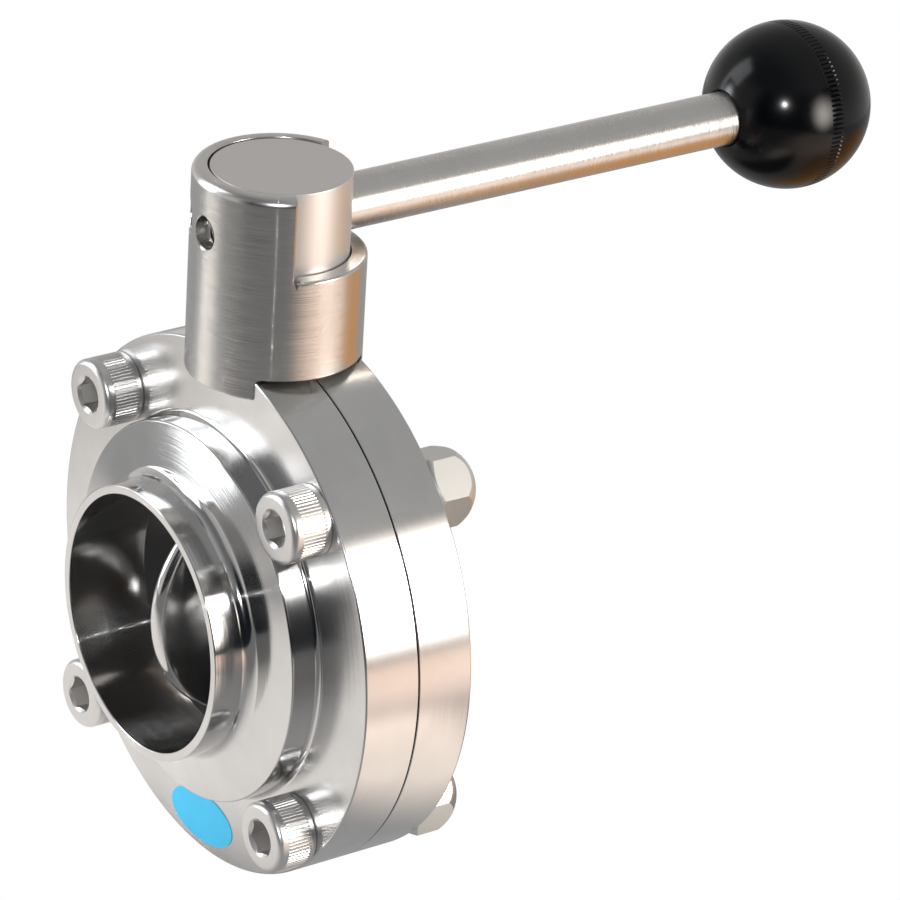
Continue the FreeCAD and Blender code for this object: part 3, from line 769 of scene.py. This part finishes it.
class VALVE_OT_screws(ValveOperator, bpy.types.Operator):
    """Shapes the four socket screws with their knurled heads"""

    bl_idname = "valve.screws"
    bl_label = "Cap Screws"

    def execute(self, context):
        sizes, colours, _ = self.settings(context)
        steel = tumbled_steel("fastener_steel", colours.fastener, roughness=0.33)
        low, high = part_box("cap_screws")
        front = low.y
        end = high.y
        head_radius = 6.5 * MM
        face_round = 1.1 * MM
        foot_round = 0.35 * MM
        tip_round = 0.6 * MM
        band_start = front + 2 * MM
        band_end = -FLANGE_FACE - 1.1 * MM
        ramp = 0.25 * MM
        socket_radius = 3 * MM / math.cos(math.pi / 6)
        socket_depth = 4 * MM
        mouth_radius = socket_radius + 0.2 * MM
        corners = [
            (0, front, 0),
            (mouth_radius, front, 0),
            (head_radius, front, face_round),
            (head_radius, band_start, 0),
            (head_radius, band_start + ramp, 0),
            (head_radius, band_end - ramp, 0),
            (head_radius, band_end, 0),
            (head_radius, -FLANGE_FACE, foot_round),
            (SHANK_RADIUS, -FLANGE_FACE, 0),
            (SHANK_RADIUS, end, tip_round),
            (0, end, 0),
        ]
        ribs = sizes.knurl_count
        screw = lathe("cap_screw", corners, Y_AXIS, steps=COLUMNS * ribs)
        activate(screw)
        bpy.ops.object.mode_set(mode="EDIT")

        def in_groove(point):
            column = math.atan2(point.z, point.x) / TURN * COLUMNS * ribs
            in_band = band_start + ramp / 2 < point.y < band_end - ramp / 2
            return in_band and round(column) % COLUMNS == 0

        pick_points(in_groove)
        shrink = 1 - sizes.knurl_depth / head_radius
        bpy.ops.transform.resize(value=(shrink, 1, shrink), center_override=ORIGIN)
        bpy.ops.object.mode_set(mode="OBJECT")
        chamfer = mouth_radius - socket_radius + 0.4 * MM
        mouth = lathe(
            "socket_mouth",
            [
                (0, front - OVERCUT, 0),
                (mouth_radius + OVERCUT, front - OVERCUT, 0),
                (mouth_radius - chamfer, front + chamfer, 0),
                (0, front + chamfer, 0),
            ],
            Y_AXIS,
            steps=96,
        )
        socket = bar(socket_radius, front - OVERCUT, front + socket_depth, Y_AXIS, sides=6)
        join_shapes(screw, [socket, mouth])
        shade(screw)
        for index, centre in enumerate(bolt_centres()):
            turn = Matrix.Rotation(math.radians(SOCKET_TURNS[index]), 4, "Y")
            placed = copy_of(screw, f"cap_screw_{index + 1}", centre, turn)
            settle(placed, "valve_body", "fastener_steel", steel, "cap_screws")
        bpy.data.objects.remove(screw)
        return {"FINISHED"}


class VALVE_OT_nuts(ValveOperator, bpy.types.Operator):
    """Shapes the four low domed nuts behind the rear flange"""

    bl_idname = "valve.nuts"
    bl_label = "Cap Nuts"

    def execute(self, context):
        steel = bpy.data.materials["fastener_steel"]
        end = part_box("cap_nuts")[1].y
        flats = 6.5 * MM
        foot = 6.2 * MM
        foot_slope = math.radians(35)
        crown_radius = 8.05 * MM
        crown_start = end - crown_radius
        crown_rows = 16
        thread_depth = 8.6 * MM
        reach = 13 * MM
        foot_rise = (crown_radius - foot) * math.tan(foot_slope)
        envelope = [
            (0, FLANGE_FACE, 0),
            (foot, FLANGE_FACE, 0),
            (crown_radius, FLANGE_FACE + foot_rise, 0),
        ]
        for row in range(crown_rows + 1):
            angle = math.pi / 2 * row / crown_rows
            point = (crown_radius * math.cos(angle), crown_start + crown_radius * math.sin(angle), 0)
            envelope.append(point)
        corner = flats / math.cos(math.pi / 6)
        nut = bar(corner, FLANGE_FACE, end + reach, Y_AXIS, sides=6, turn=math.pi / 6)
        join_shapes(nut, [lathe("nut_limits", envelope, Y_AXIS, steps=128)], "INTERSECT")
        thread = bar(SHANK_RADIUS, FLANGE_FACE - OVERCUT, FLANGE_FACE + thread_depth, Y_AXIS, sides=48)
        join_shapes(nut, [thread])
        for index, centre in enumerate(bolt_centres()):
            turn = Matrix.Rotation(math.radians(NUT_TURNS[index]), 4, "Y")
            placed = copy_of(nut, f"cap_nut_{index + 1}", centre, turn)
            settle(placed, "valve_body", "fastener_steel", steel, "cap_nuts")
        bpy.data.objects.remove(nut)
        return {"FINISHED"}


class VALVE_OT_housing(ValveOperator, bpy.types.Operator):
    """Turns the handle's sleeve and cuts its saddle, lever window and lock holes"""

    bl_idname = "valve.housing"
    bl_label = "Handle Housing"

    def execute(self, context):
        _, colours, _ = self.settings(context)
        steel = turned_steel(
            "handle_steel", colours.handle, Z_AXIS, ORIGIN, roughness=0.24, fan=0.3, arc=2.0, smudge=0.04
        )
        foot_round = 0.4 * MM
        top_round = 1.6 * MM
        bore_round = 0.3 * MM
        sleeve = lathe(
            "housing_sleeve",
            [
                (STEM_HOLE_RADIUS, HOUSING_FOOT, 0),
                (HOUSING_RADIUS, HOUSING_FOOT, foot_round),
                (HOUSING_RADIUS, HOUSING_TOP, top_round),
                (HOUSING_BORE, HOUSING_TOP, bore_round),
                (HOUSING_BORE, HOUSING_FLOOR, 0),
                (STEM_HOLE_RADIUS, HOUSING_FLOOR, 0),
            ],
            Z_AXIS,
            steps=HOUSING_STEPS,
        )
        reliefs = as_one(window_relief(WINDOW_START, 1), window_relief(WINDOW_END, -1))
        cuts = [self.saddle(), self.holes(), self.window(), self.ledge_round(), reliefs, self.bevels()]
        join_shapes(sleeve, cuts)
        settle(sleeve, "valve_body", "handle_steel", steel, "handle_housing")
        return {"FINISHED"}

    def saddle(self):
        """The cutter of the slot that straddles the flanges, with its two upper corners rounded."""
        saddle = block(
            (-HOUSING_RADIUS - OVERCUT, -SADDLE_HALF, HOUSING_FOOT - 3 * MM),
            (HOUSING_RADIUS + OVERCUT, SADDLE_HALF, HOUSING_SEAT),
        )
        activate(saddle)
        bpy.ops.object.mode_set(mode="EDIT")
        top = HOUSING_SEAT - MERGE_DISTANCE
        pick_edges(lambda a, b: min(a.z, b.z) > top and abs(a.y - b.y) < MERGE_DISTANCE)
        bpy.ops.mesh.bevel(offset=1.2 * MM, segments=8)
        bpy.ops.object.mode_set(mode="OBJECT")
        return saddle

    def holes(self):
        """The cutters of the access hole and the four lock holes, which widen at the surface."""
        inside = 12.4 * MM
        radius = 3 * MM
        chamfer = 0.3 * MM
        lock_hole = [
            (0, inside, 0),
            (radius, inside, 0),
            (radius, HOUSING_RADIUS - chamfer, 0),
            (radius + 2 * chamfer, HOUSING_RADIUS + chamfer, 0),
            (0, HOUSING_RADIUS + chamfer, 0),
        ]
        access_line = Z_AXIS * ACCESS_HEIGHT
        outside = 2 * HOUSING_RADIUS
        holes = [bar(ACCESS_RADIUS, inside, outside, around(ACCESS_ANGLE), access_line, sides=64)]
        for angle in LOCK_ANGLES:
            out = around(angle)
            holes.append(lathe("lock_hole", lock_hole, out, LEVER_LINE, steps=64, across=Z_AXIS))
        return as_one(*holes)

    def over_window(self, name, corners):
        """A cutter turned over the lever window's span only."""
        span = WINDOW_END - WINDOW_START
        steps = round(math.degrees(span))
        return lathe(name, corners, Z_AXIS, steps=steps, across=around(WINDOW_START), sweep=span)

    def window(self):
        """The cutter of the lever window, open at the top."""
        above = HOUSING_TOP + 2 * OVERCUT
        corners = [
            (0, WINDOW_LEDGE, 0),
            (2 * HOUSING_RADIUS, WINDOW_LEDGE, 0),
            (2 * HOUSING_RADIUS, above, 0),
            (0, above, 0),
        ]
        return self.over_window("window", corners)

    def ledge_round(self):
        """The cutter that rounds the outer edge of the window's ledge."""
        edge = 0.5 * MM
        corners = [
            (HOUSING_RADIUS + OVERCUT, WINDOW_LEDGE - 2 * edge, 0),
            (HOUSING_RADIUS, WINDOW_LEDGE - 2 * edge, 0),
            (HOUSING_RADIUS, WINDOW_LEDGE, edge),
            (HOUSING_RADIUS - 2 * edge, WINDOW_LEDGE, 0),
            (HOUSING_RADIUS - 2 * edge, WINDOW_LEDGE + OVERCUT, 0),
            (HOUSING_RADIUS + OVERCUT, WINDOW_LEDGE + OVERCUT, 0),
        ]
        return self.over_window("ledge_round", corners)

    def bevels(self):
        """The square bars that chamfer the window's two upright edges."""
        size = 2 * MM
        chamfer = 0.22 * MM
        aside = size * math.cos(math.pi / 4) - chamfer
        bars = []
        for angle, side in ((WINDOW_START, 1), (WINDOW_END, -1)):
            middle = around(angle, HOUSING_RADIUS) + around(angle + side * math.pi / 4, aside)
            foot = WINDOW_LEDGE - 0.2 * MM
            bars.append(bar(size, foot, HOUSING_TOP + OVERCUT, Z_AXIS, middle, sides=4, turn=angle))
        return as_one(*bars)


def window_relief(angle, side):
    """The cutter of the small V at a lower corner of the lever window."""
    point = 0.45 * MM
    width = 1.2 * MM
    depth = 1.35 * MM
    outline = [
        (0, point),
        (side * width, point),
        (side * width, 0),
        (side * point, -depth),
    ]
    out = around(angle)
    sideways = Z_AXIS.cross(out)
    start = out * (HOUSING_BORE - OVERCUT) + Z_AXIS * WINDOW_LEDGE
    corners = [start + sideways * across + Z_AXIS * up for across, up in outline]
    through = out * (HOUSING_WALL + 2 * OVERCUT)
    bpy.ops.object.select_all(action="DESELECT")
    bpy.ops.mesh.primitive_plane_add(size=MM, location=corners[0])
    relief = bpy.context.object
    bpy.ops.object.mode_set(mode="EDIT")
    bpy.ops.mesh.merge(type="CENTER")
    for here, there in zip(corners, corners[1:]):
        bpy.ops.mesh.extrude_region_move(TRANSFORM_OT_translate={"value": there - here})
    bpy.ops.mesh.select_all(action="SELECT")
    bpy.ops.mesh.edge_face_add()
    bpy.ops.mesh.extrude_region_move(TRANSFORM_OT_translate={"value": through})
    bpy.ops.mesh.select_all(action="SELECT")
    bpy.ops.mesh.normals_make_consistent(inside=False)
    bpy.ops.object.mode_set(mode="OBJECT")
    bpy.ops.object.transform_apply(location=True, rotation=True, scale=True)
    return relief


class VALVE_OT_hub(ValveOperator, bpy.types.Operator):
    """Turns the hub and bores it for the stem, the lever and the spring"""

    bl_idname = "valve.hub"
    bl_label = "Handle Hub"

    def execute(self, context):
        steel = bpy.data.materials["handle_steel"]
        edge_round = 0.25 * MM
        square = SQUARE_HALF + 0.05 * MM
        square_end = SQUARE_TOP + 0.1 * MM
        chamber_end = 5 * MM
        hub = lathe(
            "hub_core",
            [
                (0, HUB_BOTTOM, 0),
                (HUB_RADIUS, HUB_BOTTOM, edge_round),
                (HUB_RADIUS, HUB_TOP, edge_round),
                (0, HUB_TOP, 0),
            ],
            Z_AXIS,
            steps=HOUSING_STEPS,
        )
        access_line = Z_AXIS * ACCESS_HEIGHT
        cuts = [
            bar(square * math.sqrt(2), HUB_BOTTOM - OVERCUT, square_end, Z_AXIS, sides=4),
            bar(CHAMBER_RADIUS, -HOUSING_RADIUS, chamber_end, Y_AXIS, LEVER_LINE),
            bar(ROD_HOLE_RADIUS, 0, HOUSING_RADIUS, Y_AXIS, LEVER_LINE, sides=128),
            bar(GRUB_RADIUS, 0, HOUSING_RADIUS, around(ACCESS_ANGLE), access_line, sides=48),
        ]
        join_shapes(hub, cuts)
        settle(hub, "rotor", "handle_steel", steel, "handle_hub")
        return {"FINISHED"}


class VALVE_OT_lever(ValveOperator, bpy.types.Operator):
    """Turns the lever rod and the domed lock pin"""

    bl_idname = "valve.lever"
    bl_label = "Lever and Lock Pin"

    def execute(self, context):
        _, colours, _ = self.settings(context)
        self.rod(colours)
        self.pin(colours)
        return {"FINISHED"}

    def rod(self, colours):
        """The rod, with the bore in its inner end that the pin's spigot fills."""
        brushed = turned_steel(
            "lever_steel",
            colours.handle,
            Y_AXIS,
            LEVER_LINE,
            roughness=0.27,
            fan=0.28,
            arc=2.0,
            smudge=0.04,
        )
        low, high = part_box("lever_rod")
        bore_depth = 8 * MM
        corners = [
            (0, low.y, 0),
            (ROD_RADIUS, low.y, 0.3 * MM),
            (ROD_RADIUS, high.y, 0.5 * MM),
            (0, high.y, 0),
        ]
        rod = lathe("lever_bar", corners, Y_AXIS, LEVER_LINE, steps=160)
        bore = bar(SPIGOT_RADIUS, low.y - OVERCUT, low.y + bore_depth, Y_AXIS, LEVER_LINE, sides=48)
        join_shapes(rod, [bore])
        settle(rod, "lever", "handle_steel", brushed, "lever_rod")

    def pin(self, colours):
        """The pin, with its dome, the collar that the spring pushes and the spigot in the rod."""
        tip, spigot_end = (corner.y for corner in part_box("lock_pin"))
        pin_radius = 2.8 * MM
        dome_radius = 3.2 * MM
        dome_spread = math.asin(pin_radius / dome_radius)
        dome_rows = 10
        collar_radius = CHAMBER_RADIUS - 0.25 * MM
        collar_start = -4.9 * MM
        collar_end = -2.5 * MM
        collar_round = 0.2 * MM
        spigot_round = 0.3 * MM
        outline = []
        for row in range(dome_rows + 1):
            angle = dome_spread * row / dome_rows
            outline.append((dome_radius * math.sin(angle), tip + dome_radius * (1 - math.cos(angle)), 0))
        outline += [
            (pin_radius, collar_start, 0),
            (collar_radius, collar_start, collar_round),
            (collar_radius, collar_end, collar_round),
            (SPIGOT_RADIUS, collar_end, 0),
            (SPIGOT_RADIUS, spigot_end, spigot_round),
            (0, spigot_end, 0),
        ]
        pin = lathe("lock_pin_surface", outline, Y_AXIS, LEVER_LINE, steps=96)
        polished = tumbled_steel("pin_steel", colours.fastener, roughness=0.16)
        settle(pin, "lever", "fastener_steel", polished, "lock_pin")


class VALVE_OT_spring(ValveOperator, bpy.types.Operator):
    """Winds the lever's spring in one fixed shape, though the real spring shortens as the lever is pulled
    """

    bl_idname = "valve.spring"
    bl_label = "Lever Spring"

    def execute(self, context):
        low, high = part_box("lever_spring")
        wire = 0.5 * MM
        turns = 4
        steps = 40
        mean = high.x - wire
        advance = (high.y - low.y - 2 * wire) / turns
        bpy.ops.object.select_all(action="DESELECT")
        bpy.ops.mesh.primitive_circle_add(
            vertices=12, radius=wire, location=(mean, 0, 0), rotation=(math.pi / 2, 0, 0)
        )
        spring = bpy.context.object
        spring.name = "spring_coil"
        bpy.ops.object.transform_apply(location=True, rotation=True, scale=True)
        winding = spring.modifiers.new("winding", "SCREW")
        winding.axis = "Z"
        winding.angle = TURN
        winding.screw_offset = advance
        winding.iterations = turns
        winding.steps = steps
        winding.render_steps = steps
        bpy.ops.object.modifier_apply(modifier=winding.name)
        bpy.ops.object.mode_set(mode="EDIT")
        bpy.ops.mesh.select_all(action="SELECT")
        bpy.ops.mesh.remove_doubles(threshold=MERGE_DISTANCE)
        bpy.ops.mesh.fill_holes(sides=0)
        bpy.ops.mesh.select_all(action="SELECT")
        bpy.ops.mesh.normals_make_consistent(inside=False)
        bpy.ops.object.mode_set(mode="OBJECT")
        place = Matrix.Translation(LEVER_LINE + Y_AXIS * (low.y + wire))
        spring.matrix_world = place @ Matrix.Rotation(-math.pi / 2, 4, "X")
        bpy.ops.object.transform_apply(location=True, rotation=True, scale=True)
        steel = tumbled_steel("spring_steel", colour=(0.5, 0.5, 0.5), roughness=0.3)
        settle(spring, None, "spring_steel", steel, "lever_spring")
        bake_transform(spring)
        return {"FINISHED"}


class VALVE_OT_knob(ValveOperator, bpy.types.Operator):
    """Turns the ball knob with its rod hole and its notched band"""

    bl_idname = "valve.knob"
    bl_label = "Ball Knob"

    def execute(self, context):
        sizes, colours, _ = self.settings(context)
        low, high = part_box("ball_knob")
        radius = (high.x - low.x) / 2
        middle = Vector((0, high.y - radius, LEVER_HEIGHT))
        band_half = 1.35 * MM
        ramp = 0.35 * MM
        stations = (-band_half, ramp - band_half, band_half - ramp, band_half)
        ticks = sizes.tick_count
        outline = self.outline(radius, middle, stations)
        knob = lathe("knob_ball", outline, Y_AXIS, middle, steps=COLUMNS * ticks)
        activate(knob)
        bpy.ops.object.mode_set(mode="EDIT")
        notch_half = band_half - ramp / 2

        def in_notch(point):
            side = point - middle
            column = math.atan2(side.z, side.x) / TURN * COLUMNS * ticks
            on_band = abs(side.y) < notch_half and side.length > radius - MM
            return on_band and round(column) % COLUMNS == 0

        pick_points(in_notch)
        shrink = 1 - sizes.tick_depth / radius
        bpy.ops.transform.resize(value=(shrink, shrink, shrink), center_override=middle)
        bpy.ops.object.mode_set(mode="OBJECT")
        plastic = moulded(
            "knob_plastic", colours.knob, roughness=0.18, grain=0.4 * MM, depth=0.04, gloss=0.28
        )
        settle(knob, "lever", "knob_plastic", plastic, "ball_knob")
        return {"FINISHED"}

    def outline(self, radius, middle, stations):
        """The ball's outline from the mouth of its hole to its far end and back round the insert."""
        rows = 64
        keep_off = math.radians(1.2)
        mouth_round = 0.4 * MM
        insert_radius = 7 * MM
        insert_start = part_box("knob_insert")[0].y - middle.y
        insert_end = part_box("knob_insert")[1].y - middle.y
        first = math.asin((ROD_HOLE_RADIUS + mouth_round) / radius)
        angles = [math.acos(-station / radius) for station in stations]
        for row in range(rows + 1):
            angle = first + (math.pi - first) * row / rows
            if all(abs(angle - other) > keep_off for other in angles[: len(stations)]):
                angles.append(angle)
        outline = [(radius * math.sin(angle), -radius * math.cos(angle), 0) for angle in sorted(angles)]
        outline[-1] = (0, radius, 0)
        return outline + [
            (0, insert_end, 0),
            (insert_radius, insert_end, 0),
            (insert_radius, insert_start, 0),
            (ROD_HOLE_RADIUS, insert_start, 0),
            (ROD_HOLE_RADIUS, -radius * math.cos(first) + mouth_round, 0),
        ]


class VALVE_OT_details(ValveOperator, bpy.types.Operator):
    """Gives the seat, the bearings, the seals, the label and the small inner pieces their finishes"""

    bl_idname = "valve.details"
    bl_label = "Seat, Label and Inner Pieces"

    def execute(self, context):
        _, colours, _ = self.settings(context)
        rubber = moulded("seat_rubber", colours.rubber, roughness=0.5, grain=0.15 * MM, depth=0.25)
        bearing = moulded(
            "bearing_plastic", colour=(0.72, 0.71, 0.68), roughness=0.45, grain=0.2 * MM, depth=0.15
        )
        vinyl = moulded(
            "label_vinyl", colours.label, roughness=0.4, grain=0.3 * MM, depth=0.04, gloss=0.25
        )
        brass = tumbled_steel("insert_brass", colour=(0.75, 0.55, 0.28), roughness=0.3)
        for node in ("seat_ring", "upper_stem_seal", "lower_stem_seal"):
            dress(node, rubber)
        for node in ("upper_bushing", "lower_bushing", "lower_thrust_pad", "hub_thrust_washer"):
            dress(node, bearing)
        dress("test_label", vinyl)
        dress("knob_insert", brass)
        dress("hub_grub_screw", bpy.data.materials["fastener_steel"])
        dress("pin_bush", bpy.data.materials["lever_steel"])
        return {"FINISHED"}


# Studio


def glow(name, colour, strength, width=0.0, height=0.0):
    """A light-giving surface, even or, with a width and height, an oval that fades out at its edge."""
    material, tree = new_material(name)
    if width and height:
        oval = tree.vector("MULTIPLY", tree.place(), Vector((2 / width, 2 / height, 0)))
        away = tree.vector("LENGTH", oval, output="Value")
        strength = tree.between(away, low=0.0, high=1.0, start=strength, end=0.0)
    shader = tree.add("ShaderNodeEmission", inputs={"Color": colour_of(colour), "Strength": strength})
    tree.finish(shader)
    return material


def card(name, material, size, place, aim):
    """A flat card of the studio that faces a point and that the camera doesn't see."""
    heading = (Vector(aim) - Vector(place)).to_track_quat("Z", "Y")
    bpy.ops.object.select_all(action="DESELECT")
    bpy.ops.mesh.primitive_plane_add(size=1, location=place, rotation=heading.to_euler())
    piece = bpy.context.object
    piece.name = name
    piece.scale = (*size, 1)
    bpy.ops.object.transform_apply(location=False, rotation=False, scale=True)
    set_aside(piece, material)


def set_aside(piece, material):
    """Gives a piece of the studio its material and hides it from the camera."""
    piece.data.materials.append(material)
    piece.visible_camera = False


class VALVE_OT_stage(ValveOperator, bpy.types.Operator):
    """Sets up the white background, the room, the table, the softboxes and the camera"""

    bl_idname = "valve.stage"
    bl_label = "Studio and Camera"

    def execute(self, context):
        _, _, studio = self.settings(context)
        self.background(context)
        self.room()
        self.table(studio)
        self.lights(studio)
        self.camera(context)
        context.scene.view_settings.view_transform = "Standard"
        return {"FINISHED"}

    def background(self, context):
        """White for the camera and in mirrors, and a plain level of light for the rest."""
        plain_level = 0.5
        world = bpy.data.worlds.new("white_background")
        context.scene.world = world
        tree = Tree(world)
        camera, glossy, through = (
            tree.add("ShaderNodeLightPath", output=f"Is {kind} Ray")
            for kind in ("Camera", "Glossy", "Transmission")
        )
        seen = tree.math("MAXIMUM", camera, tree.math("MAXIMUM", glossy, through))
        strength = plain_level + seen * (1 - plain_level)
        shader = tree.add("ShaderNodeBackground", inputs={"Color": WHITE, "Strength": strength})
        tree.finish(shader, "World")

    def room(self):
        """The walls and ceiling round the table: dark towards the camera, grey behind and above."""
        dark_front = (0.006, 0.008, 0.012, 1)
        low_wall = (0.7, 0.68, 0.66, 1)
        high_wall = (0.5, 0.49, 0.48, 1)
        front_ceiling = (0.17, 0.175, 0.185, 1)
        back_ceiling = (0.43, 0.43, 0.425, 1)
        bpy.ops.object.select_all(action="DESELECT")
        bpy.ops.mesh.primitive_uv_sphere_add(segments=48, ring_count=24, radius=3)
        room = bpy.context.object
        room.name = "room_walls"
        material, tree = new_material("room_walls")
        heading = tree.vector("NORMALIZE", tree.place())
        up = tree.vector("DOT_PRODUCT", heading, Z_AXIS, output="Value")
        to_camera = Vector((0.85, -0.53, 0.1)).normalized()
        towards = tree.vector("DOT_PRODUCT", heading, to_camera, output="Value")
        dark = tree.between(towards, low=0.48, high=0.76)
        ceiling = tree.between(up, low=0.45, high=0.7)
        back = tree.mix(tree.between(up, low=-0.1, high=0.3), low_wall, high_wall)
        walls = tree.mix(dark, back, dark_front)
        forward = tree.vector("DOT_PRODUCT", heading, Y_AXIS, output="Value")
        overhead = tree.mix(tree.between(forward, low=-0.55, high=0.2), front_ceiling, back_ceiling)
        colour = tree.mix(ceiling, walls, overhead)
        tree.finish(tree.add("ShaderNodeEmission", inputs={"Color": colour, "Strength": 1.0}))
        material.cycles.emission_sampling = "NONE"
        set_aside(room, material)

    def table(self, studio):
        """The table under the valve, with painted pools of light, a painted shadow of the valve, painted
        shade towards the front right and a warm sheet at its back.
        """
        material, tree = new_material("table_top")
        place = tree.place()

        def pool(centre, across, deep, fade):
            """An oval that is full in its middle and fades out over the last share of its size."""
            centred = tree.vector("SUBTRACT", place, (*centre, 0))
            oval = tree.vector("MULTIPLY", centred, (1 / across, 1 / deep, 0))
            away = tree.vector("LENGTH", oval, output="Value")
            return tree.between(away, low=1 - fade, high=1.0, start=1.0, end=0.0)

        def towards(heading):
            """How far a point of the table lies in a heading from the valve."""
            return tree.vector("DOT_PRODUCT", place, Vector(heading), output="Value")

        left_side = tree.between(towards((-0.35, -0.94, 0)), low=0.0, high=0.03)
        # Painted shade: the table glows less towards the front right.
        front_right = tree.between(towards((0.8, -0.6, 0)), low=0.06, high=0.16)
        pale = colour_of([studio.table] * 3)
        painted_shade = colour_of([studio.table] * 3, 0.55)
        colour = tree.mix(front_right, pale, painted_shade)
        # Painted light: pools of brighter glow where the softboxes would light the table, the first one
        # kept to the left side.
        painted_light_pools = (
            (pool((-0.06, -0.075), 0.16, 0.15, fade=0.6) * left_side, (0.62, 0.58, 0.54)),
            (pool((-0.175, -0.202), 0.103, 0.103, fade=0.75), (0.95, 0.86, 0.78)),
            (pool((0.25, 0.15), 0.24, 0.24, fade=0.67), (1.1, 0.78, 0.6)),
            (pool((0.085, 0.032), 0.06, 0.04, fade=0.6), (0.85, 0.7, 0.58)),
        )
        for share, light in painted_light_pools:
            colour = tree.vector("ADD", tree.mix(share, BLACK, colour_of(light)), colour)
        # Painted shadow of the valve: a dark oval on the table just behind its foot.
        painted_shadow = pool((0.02, 0.068), 0.12, 0.035, fade=0.5)
        colour = tree.mix(painted_shadow, colour, (0.05, 0.05, 0.055, 1))
        sideways = towards(X_AXIS)
        backwards = towards(Y_AXIS)
        sheet = (
            tree.between(sideways, low=-0.06, high=0.0)
            * tree.between(sideways, low=0.08, high=0.15, start=1.0, end=0.0)
            * tree.between(backwards, low=0.09, high=0.15)
            * tree.between(backwards, low=0.36, high=0.42, start=1.0, end=0.0)
        )
        colour = tree.mix(sheet, colour, (0.68, 0.34, 0.12, 1))
        tree.finish(tree.add("ShaderNodeEmission", inputs={"Color": colour, "Strength": 1.0}))
        material.cycles.emission_sampling = "NONE"
        height = CAD_BOX[0].z - 0.2 * MM
        bpy.ops.object.select_all(action="DESELECT")
        bpy.ops.mesh.primitive_circle_add(
            vertices=96, radius=0.5, fill_type="NGON", location=(0, 0, height)
        )
        table = bpy.context.object
        table.name = "table_top"
        set_aside(table, material)

    def lights(self, studio):
        """A round softbox on the right, a tall one on the left with a bright middle, and a small lamp."""
        right_size = (0.25, 0.31)
        left_size = (0.42, 1.0)
        middle_size = (0.34, 0.4)
        lamp_size = (0.008, 0.008)
        right = glow("right_box", (1.0, 0.94, 0.87), studio.right_box, *right_size)
        left = glow("left_box", (0.95, 0.98, 1.0), studio.left_box)
        left_middle = glow("left_middle", (0.92, 0.97, 1.0), studio.left_middle, *middle_size)
        spot = glow("small_lamp", (1.0, 1.0, 1.0), studio.spot)
        card("right_box", right, right_size, place=(0.307, 0.178, 0.10), aim=(0.03, 0.02, 0.02))
        card("left_box", left, left_size, place=(-0.60, -0.52, 0.36), aim=(0, 0, 0.2))
        card("left_middle", left_middle, middle_size, place=(-0.53, -0.54, 0.16), aim=(0, 0, 0.05))
        card("small_lamp", spot, lamp_size, place=(0.76, -0.56, 0.47), aim=(0, 0, 0))

    def camera(self, context):
        """The photograph's view, from the front right and above."""
        back = Vector((0.72607, -0.53337, 0.43399))
        right = Vector((0.5696, 0.8200, 0.0548)).normalized()
        up = back.cross(right).normalized()
        data = bpy.data.cameras.new("camera")
        camera = bpy.data.objects.new("camera", data)
        context.scene.collection.objects.link(camera)
        distance, aside, above = 1.022, 0.03396, 0.02556
        place = back * distance + right * aside + up * above
        turn = Matrix((right, up, back)).transposed().to_4x4()
        camera.matrix_world = Matrix.Translation(place) @ turn
        data.sensor_width = 36
        data.lens = 225.68
        data.clip_start = 0.01
        data.clip_end = 20
        context.scene.camera = camera


PIECES = (
    VALVE_OT_body,
    VALVE_OT_disc,
    VALVE_OT_screws,
    VALVE_OT_nuts,
    VALVE_OT_housing,
    VALVE_OT_hub,
    VALVE_OT_lever,
    VALVE_OT_spring,
    VALVE_OT_knob,
    VALVE_OT_details,
    VALVE_OT_stage,
)


class VALVE_PT_panel(bpy.types.Panel):
    """Lists the valve's pieces, sizes, colours and lights"""

    bl_idname = "VALVE_PT_panel"
    bl_label = "Butterfly Valve"
    bl_space_type = "VIEW_3D"
    bl_region_type = "UI"
    bl_category = "Valve"

    def draw(self, context):
        layout = self.layout
        for operator in PIECES:
            layout.operator(operator.bl_idname)
        for group in (context.scene.valve_sizes, context.scene.valve_colours, context.scene.valve_studio):
            box = layout.box()
            for name in group.__annotations__:
                box.prop(group, name)


CLASSES = (ValveSizes, ValveColours, ValveStudio, *PIECES, VALVE_PT_panel)


def register():
    for item in CLASSES:
        bpy.utils.register_class(item)
    bpy.types.Scene.valve_sizes = bpy.props.PointerProperty(type=ValveSizes)
    bpy.types.Scene.valve_colours = bpy.props.PointerProperty(type=ValveColours)
    bpy.types.Scene.valve_studio = bpy.props.PointerProperty(type=ValveStudio)


def unregister():
    del bpy.types.Scene.valve_studio
    del bpy.types.Scene.valve_colours
    del bpy.types.Scene.valve_sizes
    for item in reversed(CLASSES):
        bpy.utils.unregister_class(item)


def main():
    register()
    for operator in PIECES:
        family, name = operator.bl_idname.split(".")
        getattr(getattr(bpy.ops, family), name)()


if __name__ == "__main__":
    main()
